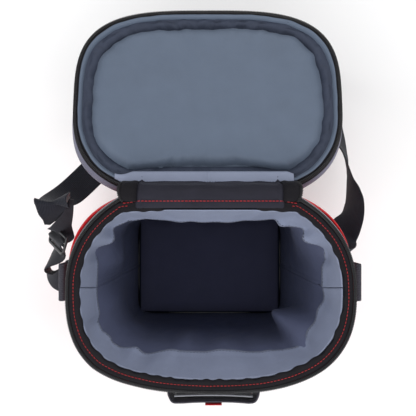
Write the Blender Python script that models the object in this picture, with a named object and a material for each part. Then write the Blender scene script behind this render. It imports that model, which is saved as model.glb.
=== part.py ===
"""Insulated zip-lid carry bag with a shoulder strap, standing open.

Metres, +Z up.  The origin is the centre of the base's underside.  +X is to the
bag's right as one looks into it from the front, +Y is towards the hinge and the
opened lid, so the front handle is on the -Y side.

The body is a stack of nested rings: outer skin, foam, liner and collar.  Every
ring is sampled at the same polar angles and heights, so the layers stay apart by
the difference of their insets.  The lid is modelled closed, in a frame whose
origin is on the hinge line, and the lid's empty then swings it open.
"""
import math

import bmesh
import bpy
from mathutils import Matrix, Vector

# ---------------------------------------------------------------- driving sizes
RIM_Z = 0.280                 # height of the zip plane
GAP = 0.0004                  # clearance between neighbouring layers
STEP_DEG = 5                  # polar step of every ring

BASE_HALF_X = 0.117           # outline at the ground
BASE_HALF_Y = 0.0825
BASE_SQUARENESS = 5.5
RIM_HALF_X = 0.149            # outline at the rim
RIM_FRONT = 0.1045            # rim centre to its front edge
RIM_BACK = 0.111              # back half, before the flat hinge edge cuts it
RIM_FLAT_BACK = 0.092         # rim centre to that flat edge
RIM_CENTRE_Y = 0.006
RIM_SQUARENESS_FRONT = 2.7
RIM_SQUARENESS_BACK = 2.2

SKIN = (0.0, 0.0012)          # inset of each wall layer: outer face, inner face
FOAM = (0.0016, 0.0110)
LINER = (0.0114, 0.0124)
FLOOR_INSET = 0.0130
COLLAR_TOP_INSET = (0.0132, 0.0142)
COLLAR_HEM_INSET = 0.0164
COLLAR_SAG = 0.0065           # how much further the collar hangs in at front and back
COLLAR_THICK = 0.0010
COLLAR_HEM_Z = 0.220

PIPING_Z = (0.2730, 0.2758)
PIPING = (-0.0007, 0.0018)
COLLAR_TOP_Z = 0.2764
TAPE_Z = (0.2768, 0.2784)
TAPE = (0.0043, 0.0142)
COIL_Z = (0.2763, 0.2795)
COIL = (-0.0002, 0.0038)

BASE_PANEL_Z = (0.0, 0.0015)
BASE_BOARD_Z = (0.0019, 0.0038)
BASE_FOAM_Z = (0.0042, 0.0100)
FLOOR_Z = (0.0104, 0.0120)
WALL_LEVELS = (0.0042, 0.095, 0.185, 0.2725)   # heights shared by every wall layer

HINGE_Y = 0.105               # hinge line
HINGE_Z = 0.268
LID_OPEN_DEG = -190.0         # from closed to the open rest pose
LID_HALF_X = 0.1447
LID_CENTRE_X = -0.0023
LID_CENTRE_Y = 0.007
LID_FRONT = 0.108
LID_BACK = 0.1044
LID_FLAT_BACK = 0.0905
LID_SQUARENESS_FRONT = 3.4
LID_SQUARENESS_BACK = 2.7
LID_TOP_Z = 0.3080

HINGE_HALF_X = 0.0745         # central fabric hinge
ZIP_END_X = (0.0752, 0.0885)  # folded tape ends beside it
ZIP_GAP_DEG = (45, 135)       # the stretch of rim that has no zip

WEBBING_HALF = 0.019
WEBBING_THICK = 0.0016

RING_WIRE = 0.00175
RING_HALF_Y = 0.0213
RING_DEPTH = 0.0235
RING_CENTRE_Y = 0.010
TAB_WALL_Z = 0.255            # height on the wall where the side tab is centred
TAB_STANDOFF = 0.0040
TAB_LOOP_HALF = 0.0029
TAB_THICK = 0.0014
TAB_STRAIGHT = 0.0120

HANDLE_PIVOT = (-0.1000, 0.268)
HANDLE_X = (-0.0438, 0.0510)
HANDLE_HEIGHT = 0.026
HANDLE_REACH = -0.1132

COLOURS = {
    "black_fabric": ((0.018, 0.018, 0.022), 0.85, 0.0),
    "red_fabric": ((0.60, 0.010, 0.016), 0.70, 0.0),
    "grey_lining": ((0.150, 0.185, 0.255), 0.60, 0.0),
    "webbing": ((0.020, 0.019, 0.026), 0.75, 0.0),
    "foam": ((0.75, 0.75, 0.73), 0.95, 0.0),
    "board": ((0.10, 0.10, 0.11), 0.80, 0.0),
    "black_plastic": ((0.012, 0.012, 0.014), 0.35, 0.0),
    "piping": ((0.24, 0.25, 0.27), 0.55, 0.0),
    "zinc": ((0.20, 0.20, 0.23), 0.35, 0.9),
}


# ---------------------------------------------------------------- scene helpers
def clear_scene():
    for old in list(bpy.data.objects):
        bpy.data.objects.remove(old, do_unlink=True)


def material(name, finish):
    colour, roughness, metallic = COLOURS[finish]
    made = bpy.data.materials.new(name)
    made.use_nodes = True
    shader = made.node_tree.nodes["Principled BSDF"]
    shader.inputs["Base Color"].default_value = (*colour, 1.0)
    shader.inputs["Roughness"].default_value = roughness
    shader.inputs["Metallic"].default_value = metallic
    made.diffuse_color = (*colour, 1.0)
    return made


def add_object(name, bm, finish, parent=None):
    bmesh.ops.recalc_face_normals(bm, faces=bm.faces)
    if bm.calc_volume(signed=True) < 0:
        bmesh.ops.reverse_faces(bm, faces=bm.faces)
    mesh = bpy.data.meshes.new(name)
    bm.to_mesh(mesh)
    bm.free()
    mesh.shade_smooth()
    mesh.set_sharp_from_angle(angle=math.radians(35))
    mesh.materials.append(material(name, finish))
    made = bpy.data.objects.new(name, mesh)
    bpy.context.scene.collection.objects.link(made)
    if parent is not None:
        made.parent = parent
    return made


def add_empty(name, place, rotation=(0.0, 0.0, 0.0)):
    made = bpy.data.objects.new(name, None)
    made.location = place
    made.rotation_euler = rotation
    bpy.context.scene.collection.objects.link(made)
    return made


# ---------------------------------------------------------------- outlines
def superellipse_radius(angle, half_x, half_y, squareness):
    across = (abs(math.cos(angle)) / half_x) ** squareness
    along = (abs(math.sin(angle)) / half_y) ** squareness
    return (across + along) ** (-1.0 / squareness)


def mix(low, high, share):
    return low + (high - low) * share


def body_point(angle, z, inset):
    """A point of the body's outline at height z, moved in by inset."""
    share = z / RIM_Z
    half_x = mix(BASE_HALF_X, RIM_HALF_X, share) - inset
    centre_y = mix(0.0, RIM_CENTRE_Y, share)
    if math.sin(angle) > 0:
        half_y = mix(BASE_HALF_Y, RIM_BACK, share) - inset
        squareness = mix(BASE_SQUARENESS, RIM_SQUARENESS_BACK, share)
    else:
        half_y = mix(BASE_HALF_Y, RIM_FRONT, share) - inset
        squareness = mix(BASE_SQUARENESS, RIM_SQUARENESS_FRONT, share)
    radius = superellipse_radius(angle, half_x, half_y, squareness)
    flat = mix(BASE_HALF_Y, RIM_FLAT_BACK, share) - inset
    if math.sin(angle) > 0:
        radius = min(radius, flat / math.sin(angle))
    return Vector((radius * math.cos(angle), centre_y + radius * math.sin(angle), z))


def lid_point(angle, z, inset):
    """A point of the closed lid's outline, measured from the hinge line."""
    behind = math.sin(angle) > 0
    half_y = (LID_BACK if behind else LID_FRONT) - inset
    squareness = LID_SQUARENESS_BACK if behind else LID_SQUARENESS_FRONT
    radius = superellipse_radius(angle, LID_HALF_X - inset, half_y, squareness)
    if behind:
        radius = min(radius, (LID_FLAT_BACK - inset) / math.sin(angle))
    x = LID_CENTRE_X + radius * math.cos(angle)
    y = LID_CENTRE_Y + radius * math.sin(angle)
    return Vector((x, y - HINGE_Y, z - HINGE_Z))


def angles_between(start, end):
    """Polar angles from start to end, in degrees, on the shared grid."""
    inner = [a for a in range(STEP_DEG * math.ceil(start / STEP_DEG), math.ceil(end), STEP_DEG)
             if start < a < end]
    return [math.radians(a) for a in [start, *inner, end]]


# ---------------------------------------------------------------- solids
def ring_solid(name, point, profile, finish, span=None, parent=None):
    """A ring, or the sector `span` of one, swept round `point`.

    `profile` is the section's corners in order, each (z, inset) or
    (z, function of angle that gives the inset).
    """
    closed = span is None
    if closed:
        angles = [math.radians(a) for a in range(0, 360, STEP_DEG)]
    else:
        angles = angles_between(*span)
    bm = bmesh.new()
    sections = []
    for angle in angles:
        section = []
        for z, inset in profile:
            depth = inset(angle) if callable(inset) else inset
            section.append(bm.verts.new(point(angle, z, depth)))
        sections.append(section)
    pairs = list(zip(sections, sections[1:]))
    if closed:
        pairs.append((sections[-1], sections[0]))
    count = len(profile)
    for here, there in pairs:
        for k in range(count):
            follow = (k + 1) % count
            a, b, c, d = here[k], there[k], there[follow], here[follow]
            if profile[follow][0] < profile[k][0]:
                a, b, c, d = b, c, d, a           # one diagonal for a layer's two faces
            bm.faces.new((a, b, c))
            bm.faces.new((a, c, d))
    if not closed:
        bm.faces.new(sections[0])
        bm.faces.new(sections[-1])
    return add_object(name, bm, finish, parent)


def layer_profile(z_levels, outer, inner):
    """Section of a wall layer: up the outer face and down the inner one."""
    up = [(z, outer) for z in z_levels]
    down = [(z, inner) for z in reversed(z_levels)]
    return up + down


def plate_solid(name, point, rings, finish, parent=None):
    """A closed plate: `rings` runs from its lower middle to its upper middle.

    Each ring is (z, inset); the first and the last are closed by a fan.
    """
    angles = [math.radians(a) for a in range(0, 360, STEP_DEG)]
    bm = bmesh.new()
    loops = [[bm.verts.new(point(a, z, inset)) for a in angles] for z, inset in rings]
    count = len(angles)
    for low, high in zip(loops, loops[1:]):
        for k in range(count):
            follow = (k + 1) % count
            bm.faces.new((low[k], low[follow], high[follow], high[k]))
    bm.faces.new(loops[0])
    bm.faces.new(loops[-1])
    return add_object(name, bm, finish, parent)


def smooth_route(stations, steps):
    """Catmull-Rom samples of (centre, side) through hand-set stations.

    A station is (centre, side) or (centre, side, half width), and a sampled
    side is as long as the half width.
    """
    places = [Vector(station[0]) for station in stations]
    sides = []
    for station in stations:
        width = station[2] if len(station) > 2 else WEBBING_HALF
        sides.append(Vector(station[1]).normalized() * width)
    padded_places = [2 * places[0] - places[1], *places, 2 * places[-1] - places[-2]]
    padded_sides = [sides[0], *sides, sides[-1]]

    def blend(points, k, t):
        a, b, c, d = points[k:k + 4]
        return 0.5 * (2 * b + (c - a) * t + (2 * a - 5 * b + 4 * c - d) * t * t
                      + (3 * b - a - 3 * c + d) * t ** 3)

    route = []
    for k in range(len(places) - 1):
        for i in range(steps):
            t = i / steps
            side = blend(padded_sides, k, t)
            width = mix(sides[k].length, sides[k + 1].length, t)
            route.append((blend(padded_places, k, t), side.normalized() * width))
    route.append((places[-1], sides[-1]))
    return route


def ribbon_solid(name, stations, thick, finish, steps=4, parent=None):
    """Flat webbing of rectangular section along a smooth route."""
    route = smooth_route(stations, steps)
    bm = bmesh.new()
    sections = []
    for k, (centre, side) in enumerate(route):
        ahead = route[min(k + 1, len(route) - 1)][0] - route[max(k - 1, 0)][0]
        ahead.normalize()
        width = side.length
        side = (side - ahead * side.dot(ahead)).normalized()
        face = ahead.cross(side)
        corners = ((1, 1), (-1, 1), (-1, -1), (1, -1))
        sections.append([bm.verts.new(centre + side * width * u + face * thick * 0.5 * v)
                         for u, v in corners])
    for here, there in zip(sections, sections[1:]):
        for k in range(4):
            follow = (k + 1) % 4
            bm.faces.new((here[k], here[follow], there[follow], there[k]))
    bm.faces.new(sections[0])
    bm.faces.new(sections[-1])
    return add_object(name, bm, finish, parent)


def tube_loop(name, path, radius, finish, sides=8, parent=None):
    """A closed wire that follows a flat closed path in the YZ plane."""
    bm = bmesh.new()
    rings = []
    count = len(path)
    for k, here in enumerate(path):
        ahead = (path[(k + 1) % count] - path[k - 1]).normalized()
        out = Vector((1.0, 0.0, 0.0))
        across = ahead.cross(out)
        ring = []
        for i in range(sides):
            turn = 2 * math.pi * i / sides
            ring.append(bm.verts.new(here + (out * math.cos(turn) + across * math.sin(turn)) * radius))
        rings.append(ring)
    for k in range(count):
        here = rings[k]
        there = rings[(k + 1) % count]
        for i in range(sides):
            follow = (i + 1) % sides
            bm.faces.new((here[i], here[follow], there[follow], there[i]))
    return add_object(name, bm, finish, parent)


def box_mesh(low, high):
    bm = bmesh.new()
    bmesh.ops.create_cube(bm, size=1.0)
    size = Vector(high) - Vector(low)
    centre = (Vector(high) + Vector(low)) / 2
    bmesh.ops.scale(bm, vec=size, verts=bm.verts)
    bmesh.ops.translate(bm, vec=centre, verts=bm.verts)
    return bm


def cylinder_mesh(centre, radius, length, axis="Y", segments=16):
    bm = bmesh.new()
    bmesh.ops.create_cone(bm, cap_ends=True, segments=segments, radius1=radius,
                          radius2=radius, depth=length)
    if axis == "Y":
        bmesh.ops.rotate(bm, verts=bm.verts, matrix=Matrix.Rotation(math.pi / 2, 3, "X"))
    bmesh.ops.translate(bm, vec=Vector(centre), verts=bm.verts)
    return bm


def apply_tool(target, tool_mesh, operation, name):
    """Hold a hidden tool object and combine it with the target."""
    tool = add_object(name, tool_mesh, "black_plastic", target.parent)
    tool.matrix_basis = target.matrix_basis
    tool.hide_render = True
    tool.display_type = "WIRE"
    modifier = target.modifiers.new(name, "BOOLEAN")
    modifier.operation = operation
    modifier.solver = "EXACT"
    modifier.object = tool


# ---------------------------------------------------------------- bag body
def build_base():
    for name, (low, high), inset, finish in (
            ("base_panel", BASE_PANEL_Z, 0.0, "black_fabric"),
            ("base_board", BASE_BOARD_Z, 0.0020, "board"),
            ("base_foam", BASE_FOAM_Z, FLOOR_INSET, "foam"),
            ("liner_floor", FLOOR_Z, FLOOR_INSET, "grey_lining")):
        plate_solid(name, body_point, [(low, inset), (high, inset)], finish)


def build_walls():
    """Outer panels, foam panels and the two halves of the liner."""
    seam = 0.12                                   # half a seam's gap, in degrees
    spans = {
        "right": (-50 + seam, 50 - seam),
        "back": (50 + seam, 130 - seam),
        "left": (130 + seam, 230 - seam),
        "front": (230 + seam, 310 - seam),
    }
    skin_levels = (BASE_PANEL_Z[1] + GAP, *WALL_LEVELS)
    for side, span in spans.items():
        finish = "red_fabric" if side in ("left", "right") else "black_fabric"
        ring_solid(f"{side}_panel", body_point, layer_profile(skin_levels, *SKIN), finish, span)
        ring_solid(f"{side}_foam", body_point, layer_profile(WALL_LEVELS, *FOAM), "foam", span)
    halves = {"back": (seam, 180 - seam), "front": (180 + seam, 360 - seam)}

    def hem_outer(angle):
        return COLLAR_HEM_INSET + COLLAR_SAG * math.sin(angle) ** 2

    def hem_inner(angle):
        return hem_outer(angle) + COLLAR_THICK

    collar = [(COLLAR_HEM_Z, hem_outer), (COLLAR_TOP_Z, COLLAR_TOP_INSET[0]),
              (COLLAR_TOP_Z, COLLAR_TOP_INSET[1]), (COLLAR_HEM_Z, hem_inner)]
    for half, span in halves.items():
        ring_solid(f"liner_{half}", body_point, layer_profile(WALL_LEVELS, *LINER),
                   "grey_lining", span)
        ring_solid(f"collar_{half}", body_point, collar, "grey_lining", span)


def build_rim():
    """Piping under the zip, then the zip's body half: tape and coil."""
    zip_span = (ZIP_GAP_DEG[1], ZIP_GAP_DEG[0] + 360)
    ring_solid("rim_piping", body_point, layer_profile(PIPING_Z, *PIPING), "piping")
    ring_solid("zipper_tape_body", body_point, layer_profile(TAPE_Z, *TAPE), "black_fabric", zip_span)
    ring_solid("zipper_coil_body", body_point, layer_profile(COIL_Z, *COIL), "black_plastic", zip_span)


# ---------------------------------------------------------------- lid
def build_lid():
    lid = add_empty("lid_axis", (0.0, HINGE_Y, HINGE_Z), (math.radians(LID_OPEN_DEG), 0.0, 0.0))
    zip_span = (ZIP_GAP_DEG[1], ZIP_GAP_DEG[0] + 360)
    ring_solid("zipper_coil_lid", lid_point, layer_profile((0.2805, 0.2837), 0.0, 0.0038),
               "black_plastic", zip_span, lid)
    ring_solid("zipper_tape_lid", lid_point, layer_profile((0.2812, 0.2828), 0.0043, 0.0070),
               "black_fabric", zip_span, lid)
    ring_solid("lid_border", lid_point,
               [(0.2832, 0.0046), (0.2875, 0.0046), (0.2875, 0.0138), (0.2822, 0.0128),
                (0.2818, 0.0082), (0.2832, 0.0080)],
               "grey_lining", (ZIP_GAP_DEG[1] + 1, ZIP_GAP_DEG[0] + 359), lid)
    ring_solid("lid_hem_strip", lid_point, layer_profile((0.2812, 0.2830), 0.0006, 0.0110),
               "grey_lining", (ZIP_GAP_DEG[0] + 2, ZIP_GAP_DEG[1] - 2), lid)
    ring_solid("lid_side_band", lid_point, layer_profile((0.2841, 0.3035), 0.0002, 0.0014),
               "piping", None, lid)
    plate_solid("lid_liner", lid_point,
                [(0.2770, 0.0650), (0.2785, 0.0350), (0.2815, 0.0215), (0.2862, 0.0172),
                 (0.2880, 0.0150), (0.2895, 0.0150)],
                "grey_lining", lid)
    plate_solid("lid_foam", lid_point, [(0.2899, 0.0022), (0.3031, 0.0022)], "foam", lid)
    plate_solid("lid_top_panel", lid_point,
                [(0.3039, 0.0002), (0.3056, 0.0002), (0.3074, 0.0030), (LID_TOP_Z, 0.0110)],
                "black_fabric", lid)


def extruded_strip(name, spine, thick, x_span, finish):
    """A strip of constant section along X, following `spine` in the YZ plane."""
    bm = bmesh.new()
    rows = []
    for k, (y, z) in enumerate(spine):
        before = Vector(spine[max(k - 1, 0)])
        after = Vector(spine[min(k + 1, len(spine) - 1)])
        ahead = (after - before).normalized()
        normal = Vector((-ahead.y, ahead.x)) * thick * 0.5
        row = []
        for x, sign in ((x_span[0], 1), (x_span[1], 1), (x_span[1], -1), (x_span[0], -1)):
            row.append(bm.verts.new((x, y + sign * normal.x, z + sign * normal.y)))
        rows.append(row)
    for here, there in zip(rows, rows[1:]):
        for k in range(4):
            follow = (k + 1) % 4
            bm.faces.new((here[k], here[follow], there[follow], there[k]))
    bm.faces.new(rows[0])
    bm.faces.new(rows[-1])
    return add_object(name, bm, finish)


def build_hinge():
    """Fabric hinge from the rim's inner edge over to the lid, and the zip's folded ends."""
    rim_y = RIM_CENTRE_Y + RIM_FLAT_BACK
    spine = [(rim_y - 0.0118, 0.2776), (rim_y - 0.0005, 0.2780), (rim_y + 0.0055, 0.2766),
             (rim_y + 0.0100, 0.2705), (rim_y + 0.0125, 0.2625), (rim_y + 0.0129, 0.2568)]
    extruded_strip("hinge_panel", spine, 0.0010, (-HINGE_HALF_X, HINGE_HALF_X), "black_fabric")
    fold = [(rim_y - 0.0040, 0.2808), (rim_y + 0.0010, 0.2808), (rim_y + 0.0066, 0.2785),
            (rim_y + 0.0108, 0.2715), (rim_y + 0.0130, 0.2630), (rim_y + 0.0131, 0.2570)]
    inner, outer = ZIP_END_X
    extruded_strip("zip_end_right", fold, 0.0016, (inner, outer), "black_fabric")
    extruded_strip("zip_end_left", fold, 0.0016, (-outer, -inner), "black_fabric")


# ---------------------------------------------------------------- zip sliders
def build_slider(side, sign):
    """A slider parked below the zip's folded end, with a pull on a rivet along Y."""
    x = sign * 0.0820
    pivot_z = 0.2585
    slider = add_object(f"zipper_slider_{side}",
                        box_mesh((x - 0.0042, 0.0986, 0.2560), (x + 0.0042, 0.1012, 0.2660)), "zinc")
    apply_tool(slider, cylinder_mesh((x, 0.1022, pivot_z), 0.0009, 0.0030), "UNION", f"post_{side}")
    apply_tool(slider, cylinder_mesh((x, 0.1041, pivot_z), 0.0017, 0.0012), "UNION", f"head_{side}")
    axis = add_empty(f"pull_axis_{side}", (x, 0.1023, pivot_z))
    outline = box_mesh((-0.0036, -0.0006, -0.0250), (0.0036, 0.0006, 0.0026))
    uprights = [e for e in outline.edges if abs(e.verts[0].co.y - e.verts[1].co.y) > 0.0005]
    bmesh.ops.bevel(outline, geom=uprights, offset=0.0020, segments=3, profile=0.5,
                     affect="EDGES")
    pull = add_object(f"pull_tab_{side}", outline, "black_plastic", axis)
    apply_tool(pull, cylinder_mesh((0.0, 0.0, 0.0), 0.0013, 0.0040), "DIFFERENCE", f"eye_{side}")


# ---------------------------------------------------------------- side tabs and rings
def wall_x(z):
    return mix(BASE_HALF_X, RIM_HALF_X, z / RIM_Z)


def tab_frame(sign):
    """Centre of the tab's loop, its up-the-wall direction and its outward direction."""
    lean = math.atan((RIM_HALF_X - BASE_HALF_X) / RIM_Z)
    up = Vector((sign * math.sin(lean), 0.0, math.cos(lean)))
    out = Vector((sign * math.cos(lean), 0.0, -math.sin(lean)))
    centre = Vector((sign * wall_x(TAB_WALL_Z), RING_CENTRE_Y, TAB_WALL_Z)) + out * TAB_STANDOFF
    return centre, up, out


def build_side_tab(side, sign):
    """A flattened loop of webbing that hangs the strap ring beside the rim."""
    centre, up, out = tab_frame(sign)
    bm = bmesh.new()
    arc_steps = 6

    def loop_points(radius):
        points = []
        for half, start in ((1, 0.0), (-1, math.pi)):
            for k in range(arc_steps + 1):
                turn = start + math.pi * k / arc_steps
                points.append(centre + up * (half * TAB_STRAIGHT) + out * radius * math.cos(turn)
                              + up * radius * math.sin(turn))
        return points

    rows = []
    for y in (-WEBBING_HALF, WEBBING_HALF):
        for radius in (TAB_LOOP_HALF + TAB_THICK / 2, TAB_LOOP_HALF - TAB_THICK / 2):
            rows.append([bm.verts.new(p + Vector((0.0, y, 0.0))) for p in loop_points(radius)])
    count = len(rows[0])
    for first, second in ((0, 1), (1, 3), (3, 2), (2, 0)):
        for k in range(count):
            follow = (k + 1) % count
            bm.faces.new((rows[first][k], rows[first][follow], rows[second][follow], rows[second][k]))
    add_object(f"{side}_side_tab", bm, "webbing")


def ring_bar(sign):
    centre, up, _ = tab_frame(sign)
    return centre - up * TAB_STRAIGHT


def build_ring(side, sign):
    """A rectangular wire ring that hangs plumb from its bar in the side tab."""
    bar = ring_bar(sign)
    axis = add_empty(f"{side}_ring_axis", bar)
    path = []
    top = 0.0020
    low = 0.0040
    corners = ((top, RING_HALF_Y - top, -top, 0), (top, top - RING_HALF_Y, -top, 90),
               (low, low - RING_HALF_Y, low - RING_DEPTH, 180),
               (low, RING_HALF_Y - low, low - RING_DEPTH, 270))
    for corner, y, z, start in corners:
        for k in range(5):
            turn = math.radians(start + 22.5 * k)
            path.append(Vector((0.0, y + corner * math.cos(turn), z + corner * math.sin(turn))))
    tube_loop(f"{side}_strap_ring", path, RING_WIRE, "black_plastic", parent=axis)


# ---------------------------------------------------------------- strap
def right_ring_wrap():
    """Stations of the strap's sewn end round the right ring's lower bar."""
    bar = ring_bar(1)
    low = bar.z - RING_DEPTH
    radius = 0.0048
    level = (0.0, 1.0, 0.0)
    y = RING_CENTRE_Y
    return [((bar.x + 0.0006, y, low - 0.0260), level), ((bar.x - 0.0028, y, low - 0.0140), level),
            ((bar.x - radius, y, low), level), ((bar.x, y, low + radius), level),
            ((bar.x + radius, y, low), level), ((bar.x + 0.0050, y, low - 0.0140), level)]


STRAP_ROUTE = [
    ((0.1570, 0.0160, 0.1880), (-0.15, 0.97, 0.15)),
    ((0.1600, 0.0320, 0.1640), (0.75, 0.40, 0.45)),
    ((0.1625, 0.0500, 0.1500), (0.96, -0.20, 0.15)),
    ((0.1742, 0.0724, 0.1480), (0.62, -0.20, 0.76)),
    ((0.1782, 0.0848, 0.1440), (0.44, -0.05, 0.90)),
    ((0.1800, 0.0967, 0.1350), (0.26, 0.00, 0.96)),
    ((0.1807, 0.1144, 0.1200), (0.00, 0.00, 1.00)),
    ((0.1805, 0.1497, 0.1000), (-0.31, 0.00, 0.95)),
    ((0.1776, 0.1667, 0.0900), (-0.46, 0.00, 0.89)),
    ((0.1710, 0.1958, 0.0720), (-0.80, 0.05, 0.60)),
    ((0.1600, 0.2380, 0.0450), (-0.95, -0.22, 0.18)),
    ((0.1250, 0.2760, 0.0180), (-0.62, -0.78, 0.02)),
    ((0.0650, 0.2900, 0.0060), (-0.18, -0.98, 0.00)),
    ((0.0000, 0.2820, 0.0040), (0.10, -0.99, 0.00)),
    ((-0.0600, 0.2520, 0.0100), (0.35, -0.94, 0.00)),
    ((-0.1080, 0.2040, 0.0420), (0.62, -0.78, 0.00)),
    ((-0.1340, 0.1610, 0.0780), (0.75, -0.66, 0.00)),
    ((-0.1587, 0.1304, 0.0980), (0.76, -0.64, 0.05)),
    ((-0.1800, 0.1060, 0.1160), (0.80, -0.58, 0.10)),
    ((-0.1880, 0.0950, 0.1500), (0.93, -0.34, 0.15)),
    ((-0.1790, 0.0930, 0.2000), (0.97, 0.12, 0.10)),
    ((-0.1640, 0.0945, 0.2520), (0.89, 0.44, 0.00)),
    ((-0.1594, 0.0944, 0.2680), (0.883, 0.468, 0.00)),
    ((-0.1580, 0.0920, 0.2718), (0.883, 0.468, 0.00)),
    ((-0.1575, 0.0885, 0.2695), (0.883, 0.468, 0.00)),
    ((-0.1605, 0.0850, 0.2600), (0.90, 0.40, -0.20), 0.0155),
    ((-0.1665, 0.0810, 0.2500), (0.90, 0.30, -0.40), 0.0090),
]

TRI_GLIDE_CENTRE = Vector((-0.1618, 0.0520, 0.2440))
TRI_GLIDE_LONG = Vector((0.555, -0.314, 0.770)).normalized()
TRI_GLIDE_ALONG = Vector((-0.316, -0.936, -0.155))
TRI_GLIDE_ALONG = (TRI_GLIDE_ALONG - TRI_GLIDE_LONG * TRI_GLIDE_ALONG.dot(TRI_GLIDE_LONG)).normalized()
TRI_GLIDE_NORMAL = TRI_GLIDE_LONG.cross(TRI_GLIDE_ALONG)
TRI_GLIDE_HALF_THICK = 0.0014


def glide_station(along, lift):
    place = TRI_GLIDE_CENTRE + TRI_GLIDE_ALONG * along + TRI_GLIDE_NORMAL * lift
    return (tuple(place), tuple(TRI_GLIDE_LONG))


def adjust_loop_route():
    """From beside the strap's fold, woven through the tri-glide, to the left ring."""
    bar = ring_bar(-1)
    low = bar.z - RING_DEPTH
    radius = 0.0048
    level = (0.0, 1.0, 0.0)
    y = RING_CENTRE_Y
    weave = [glide_station(-0.0105, 0.0036), glide_station(-0.0052, 0.0),
             glide_station(0.0, -0.0038), glide_station(0.0052, 0.0), glide_station(0.0115, 0.0043)]
    return [
        ((-0.1440, 0.0865, 0.2430), (0.10, 0.15, 0.98)),
        ((-0.1480, 0.0780, 0.2450), (0.30, 0.00, 0.95)),
        ((-0.1540, 0.0680, 0.2460), (0.50, -0.10, 0.86)),
        *weave,
        ((-0.1745, 0.0290, 0.2330), (0.20, -0.05, 0.98)),
        ((-0.1740, 0.0190, 0.2290), (-0.05, 0.45, 0.89)),
        ((-0.1660, 0.0125, 0.2255), (-0.05, 0.85, 0.50)),
        ((bar.x - radius, y, low + 0.0025), level),
        ((bar.x, y, low + radius), level),
        ((bar.x + radius, y, low), level),
        ((bar.x + 0.0034, y, low - 0.0140), level),
    ]


def build_strap():
    ribbon_solid("strap_webbing", right_ring_wrap() + STRAP_ROUTE, WEBBING_THICK, "webbing")
    ribbon_solid("strap_adjust_loop", adjust_loop_route(), WEBBING_THICK, "webbing")


def build_tri_glide():
    """Three-bar adjuster: a flat frame with two slots."""
    turn = Matrix((TRI_GLIDE_LONG, TRI_GLIDE_ALONG, TRI_GLIDE_NORMAL)).transposed().to_4x4()
    place = Matrix.Translation(TRI_GLIDE_CENTRE) @ turn
    half_long = 0.0232
    half_wide = 0.0122
    thick = TRI_GLIDE_HALF_THICK
    frame_mesh = box_mesh((-half_long, -half_wide, -thick), (half_long, half_wide, thick))
    corners = [e for e in frame_mesh.edges if abs(e.verts[0].co.z - e.verts[1].co.z) > thick]
    bmesh.ops.bevel(frame_mesh, geom=corners, offset=0.0040, segments=3, profile=0.5,
                     affect="EDGES")
    frame = add_object("tri_glide", frame_mesh, "black_plastic")
    frame.matrix_basis = place
    for label, sign in (("first", -1), ("second", 1)):
        low = min(sign * 0.0016, sign * 0.0092)
        high = max(sign * 0.0016, sign * 0.0092)
        slot = box_mesh((-0.0199, low, -0.01), (0.0199, high, 0.01))
        apply_tool(frame, slot, "DIFFERENCE", f"slot_{label}")


# ---------------------------------------------------------------- front handle
def build_handle():
    """Webbing grab handle that lifts about its top edge, and its two sewn anchors."""
    pivot_y, pivot_z = HANDLE_PIVOT
    middle_x = sum(HANDLE_X) / 2
    axis = add_empty("handle_axis", (middle_x, pivot_y, pivot_z))
    drop = -HANDLE_HEIGHT / 2
    half = (HANDLE_X[1] - HANDLE_X[0]) / 2 - 0.0010
    reach = HANDLE_REACH - pivot_y
    upright = (0.0, 0.0, 1.0)

    def stations(path, half_width):
        return [((x, y, drop), upright, half_width) for x, y in path]

    outer = [(-half, -0.0012), (-half + 0.0015, 0.55 * reach), (-half + 0.0080, reach),
             (-0.5 * half, 0.96 * reach), (0.0, 0.90 * reach), (0.5 * half, 0.93 * reach),
             (half - 0.0080, reach), (half - 0.0015, 0.55 * reach), (half, -0.0012)]
    ribbon_solid("front_handle_webbing", stations(outer, HANDLE_HEIGHT / 2), 0.0020, "webbing",
                 parent=axis)
    strip = [(-half + 0.0062, 0.60 * reach), (0.0, 0.57 * reach), (half - 0.0062, 0.60 * reach)]
    ribbon_solid("front_handle_backing", stations(strip, HANDLE_HEIGHT / 2 - 0.0015), 0.0014,
                 "piping", parent=axis)
    tag_y = 0.90 * reach - 0.0014
    add_object("front_handle_tag",
               box_mesh((-0.0085, tag_y - 0.0011, 1.35 * drop), (0.0085, tag_y, 0.35 * drop)),
               "red_fabric", axis)
    for side, x in (("left", HANDLE_X[0] + 0.0010), ("right", HANDLE_X[1] - 0.0010)):
        add_object(f"front_handle_anchor_{side}",
                   box_mesh((x - 0.0055, pivot_y + 0.0004, pivot_z - HANDLE_HEIGHT - 0.004),
                            (x + 0.0055, pivot_y + 0.0022, pivot_z + 0.001)), "webbing")


def main():
    clear_scene()
    build_base()
    build_walls()
    build_rim()
    build_lid()
    build_hinge()
    for side, sign in (("left", -1), ("right", 1)):
        build_slider(side, sign)
        build_side_tab(side, sign)
        build_ring(side, sign)
    build_strap()
    build_tri_glide()
    build_handle()


main()
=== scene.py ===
"""Looks of an insulated zip-lid carry bag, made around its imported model.

Metres, +Z up.  The bag stands open: +Y is towards the hinge and the opened lid,
and the front handle is on the -Y side.  Rings round the bag are sampled by polar
angle, in degrees, and "inset" is how far a point lies in from the outline.
"""

import math

import bmesh
import bpy
import numpy as np
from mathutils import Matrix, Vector, noise


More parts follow.
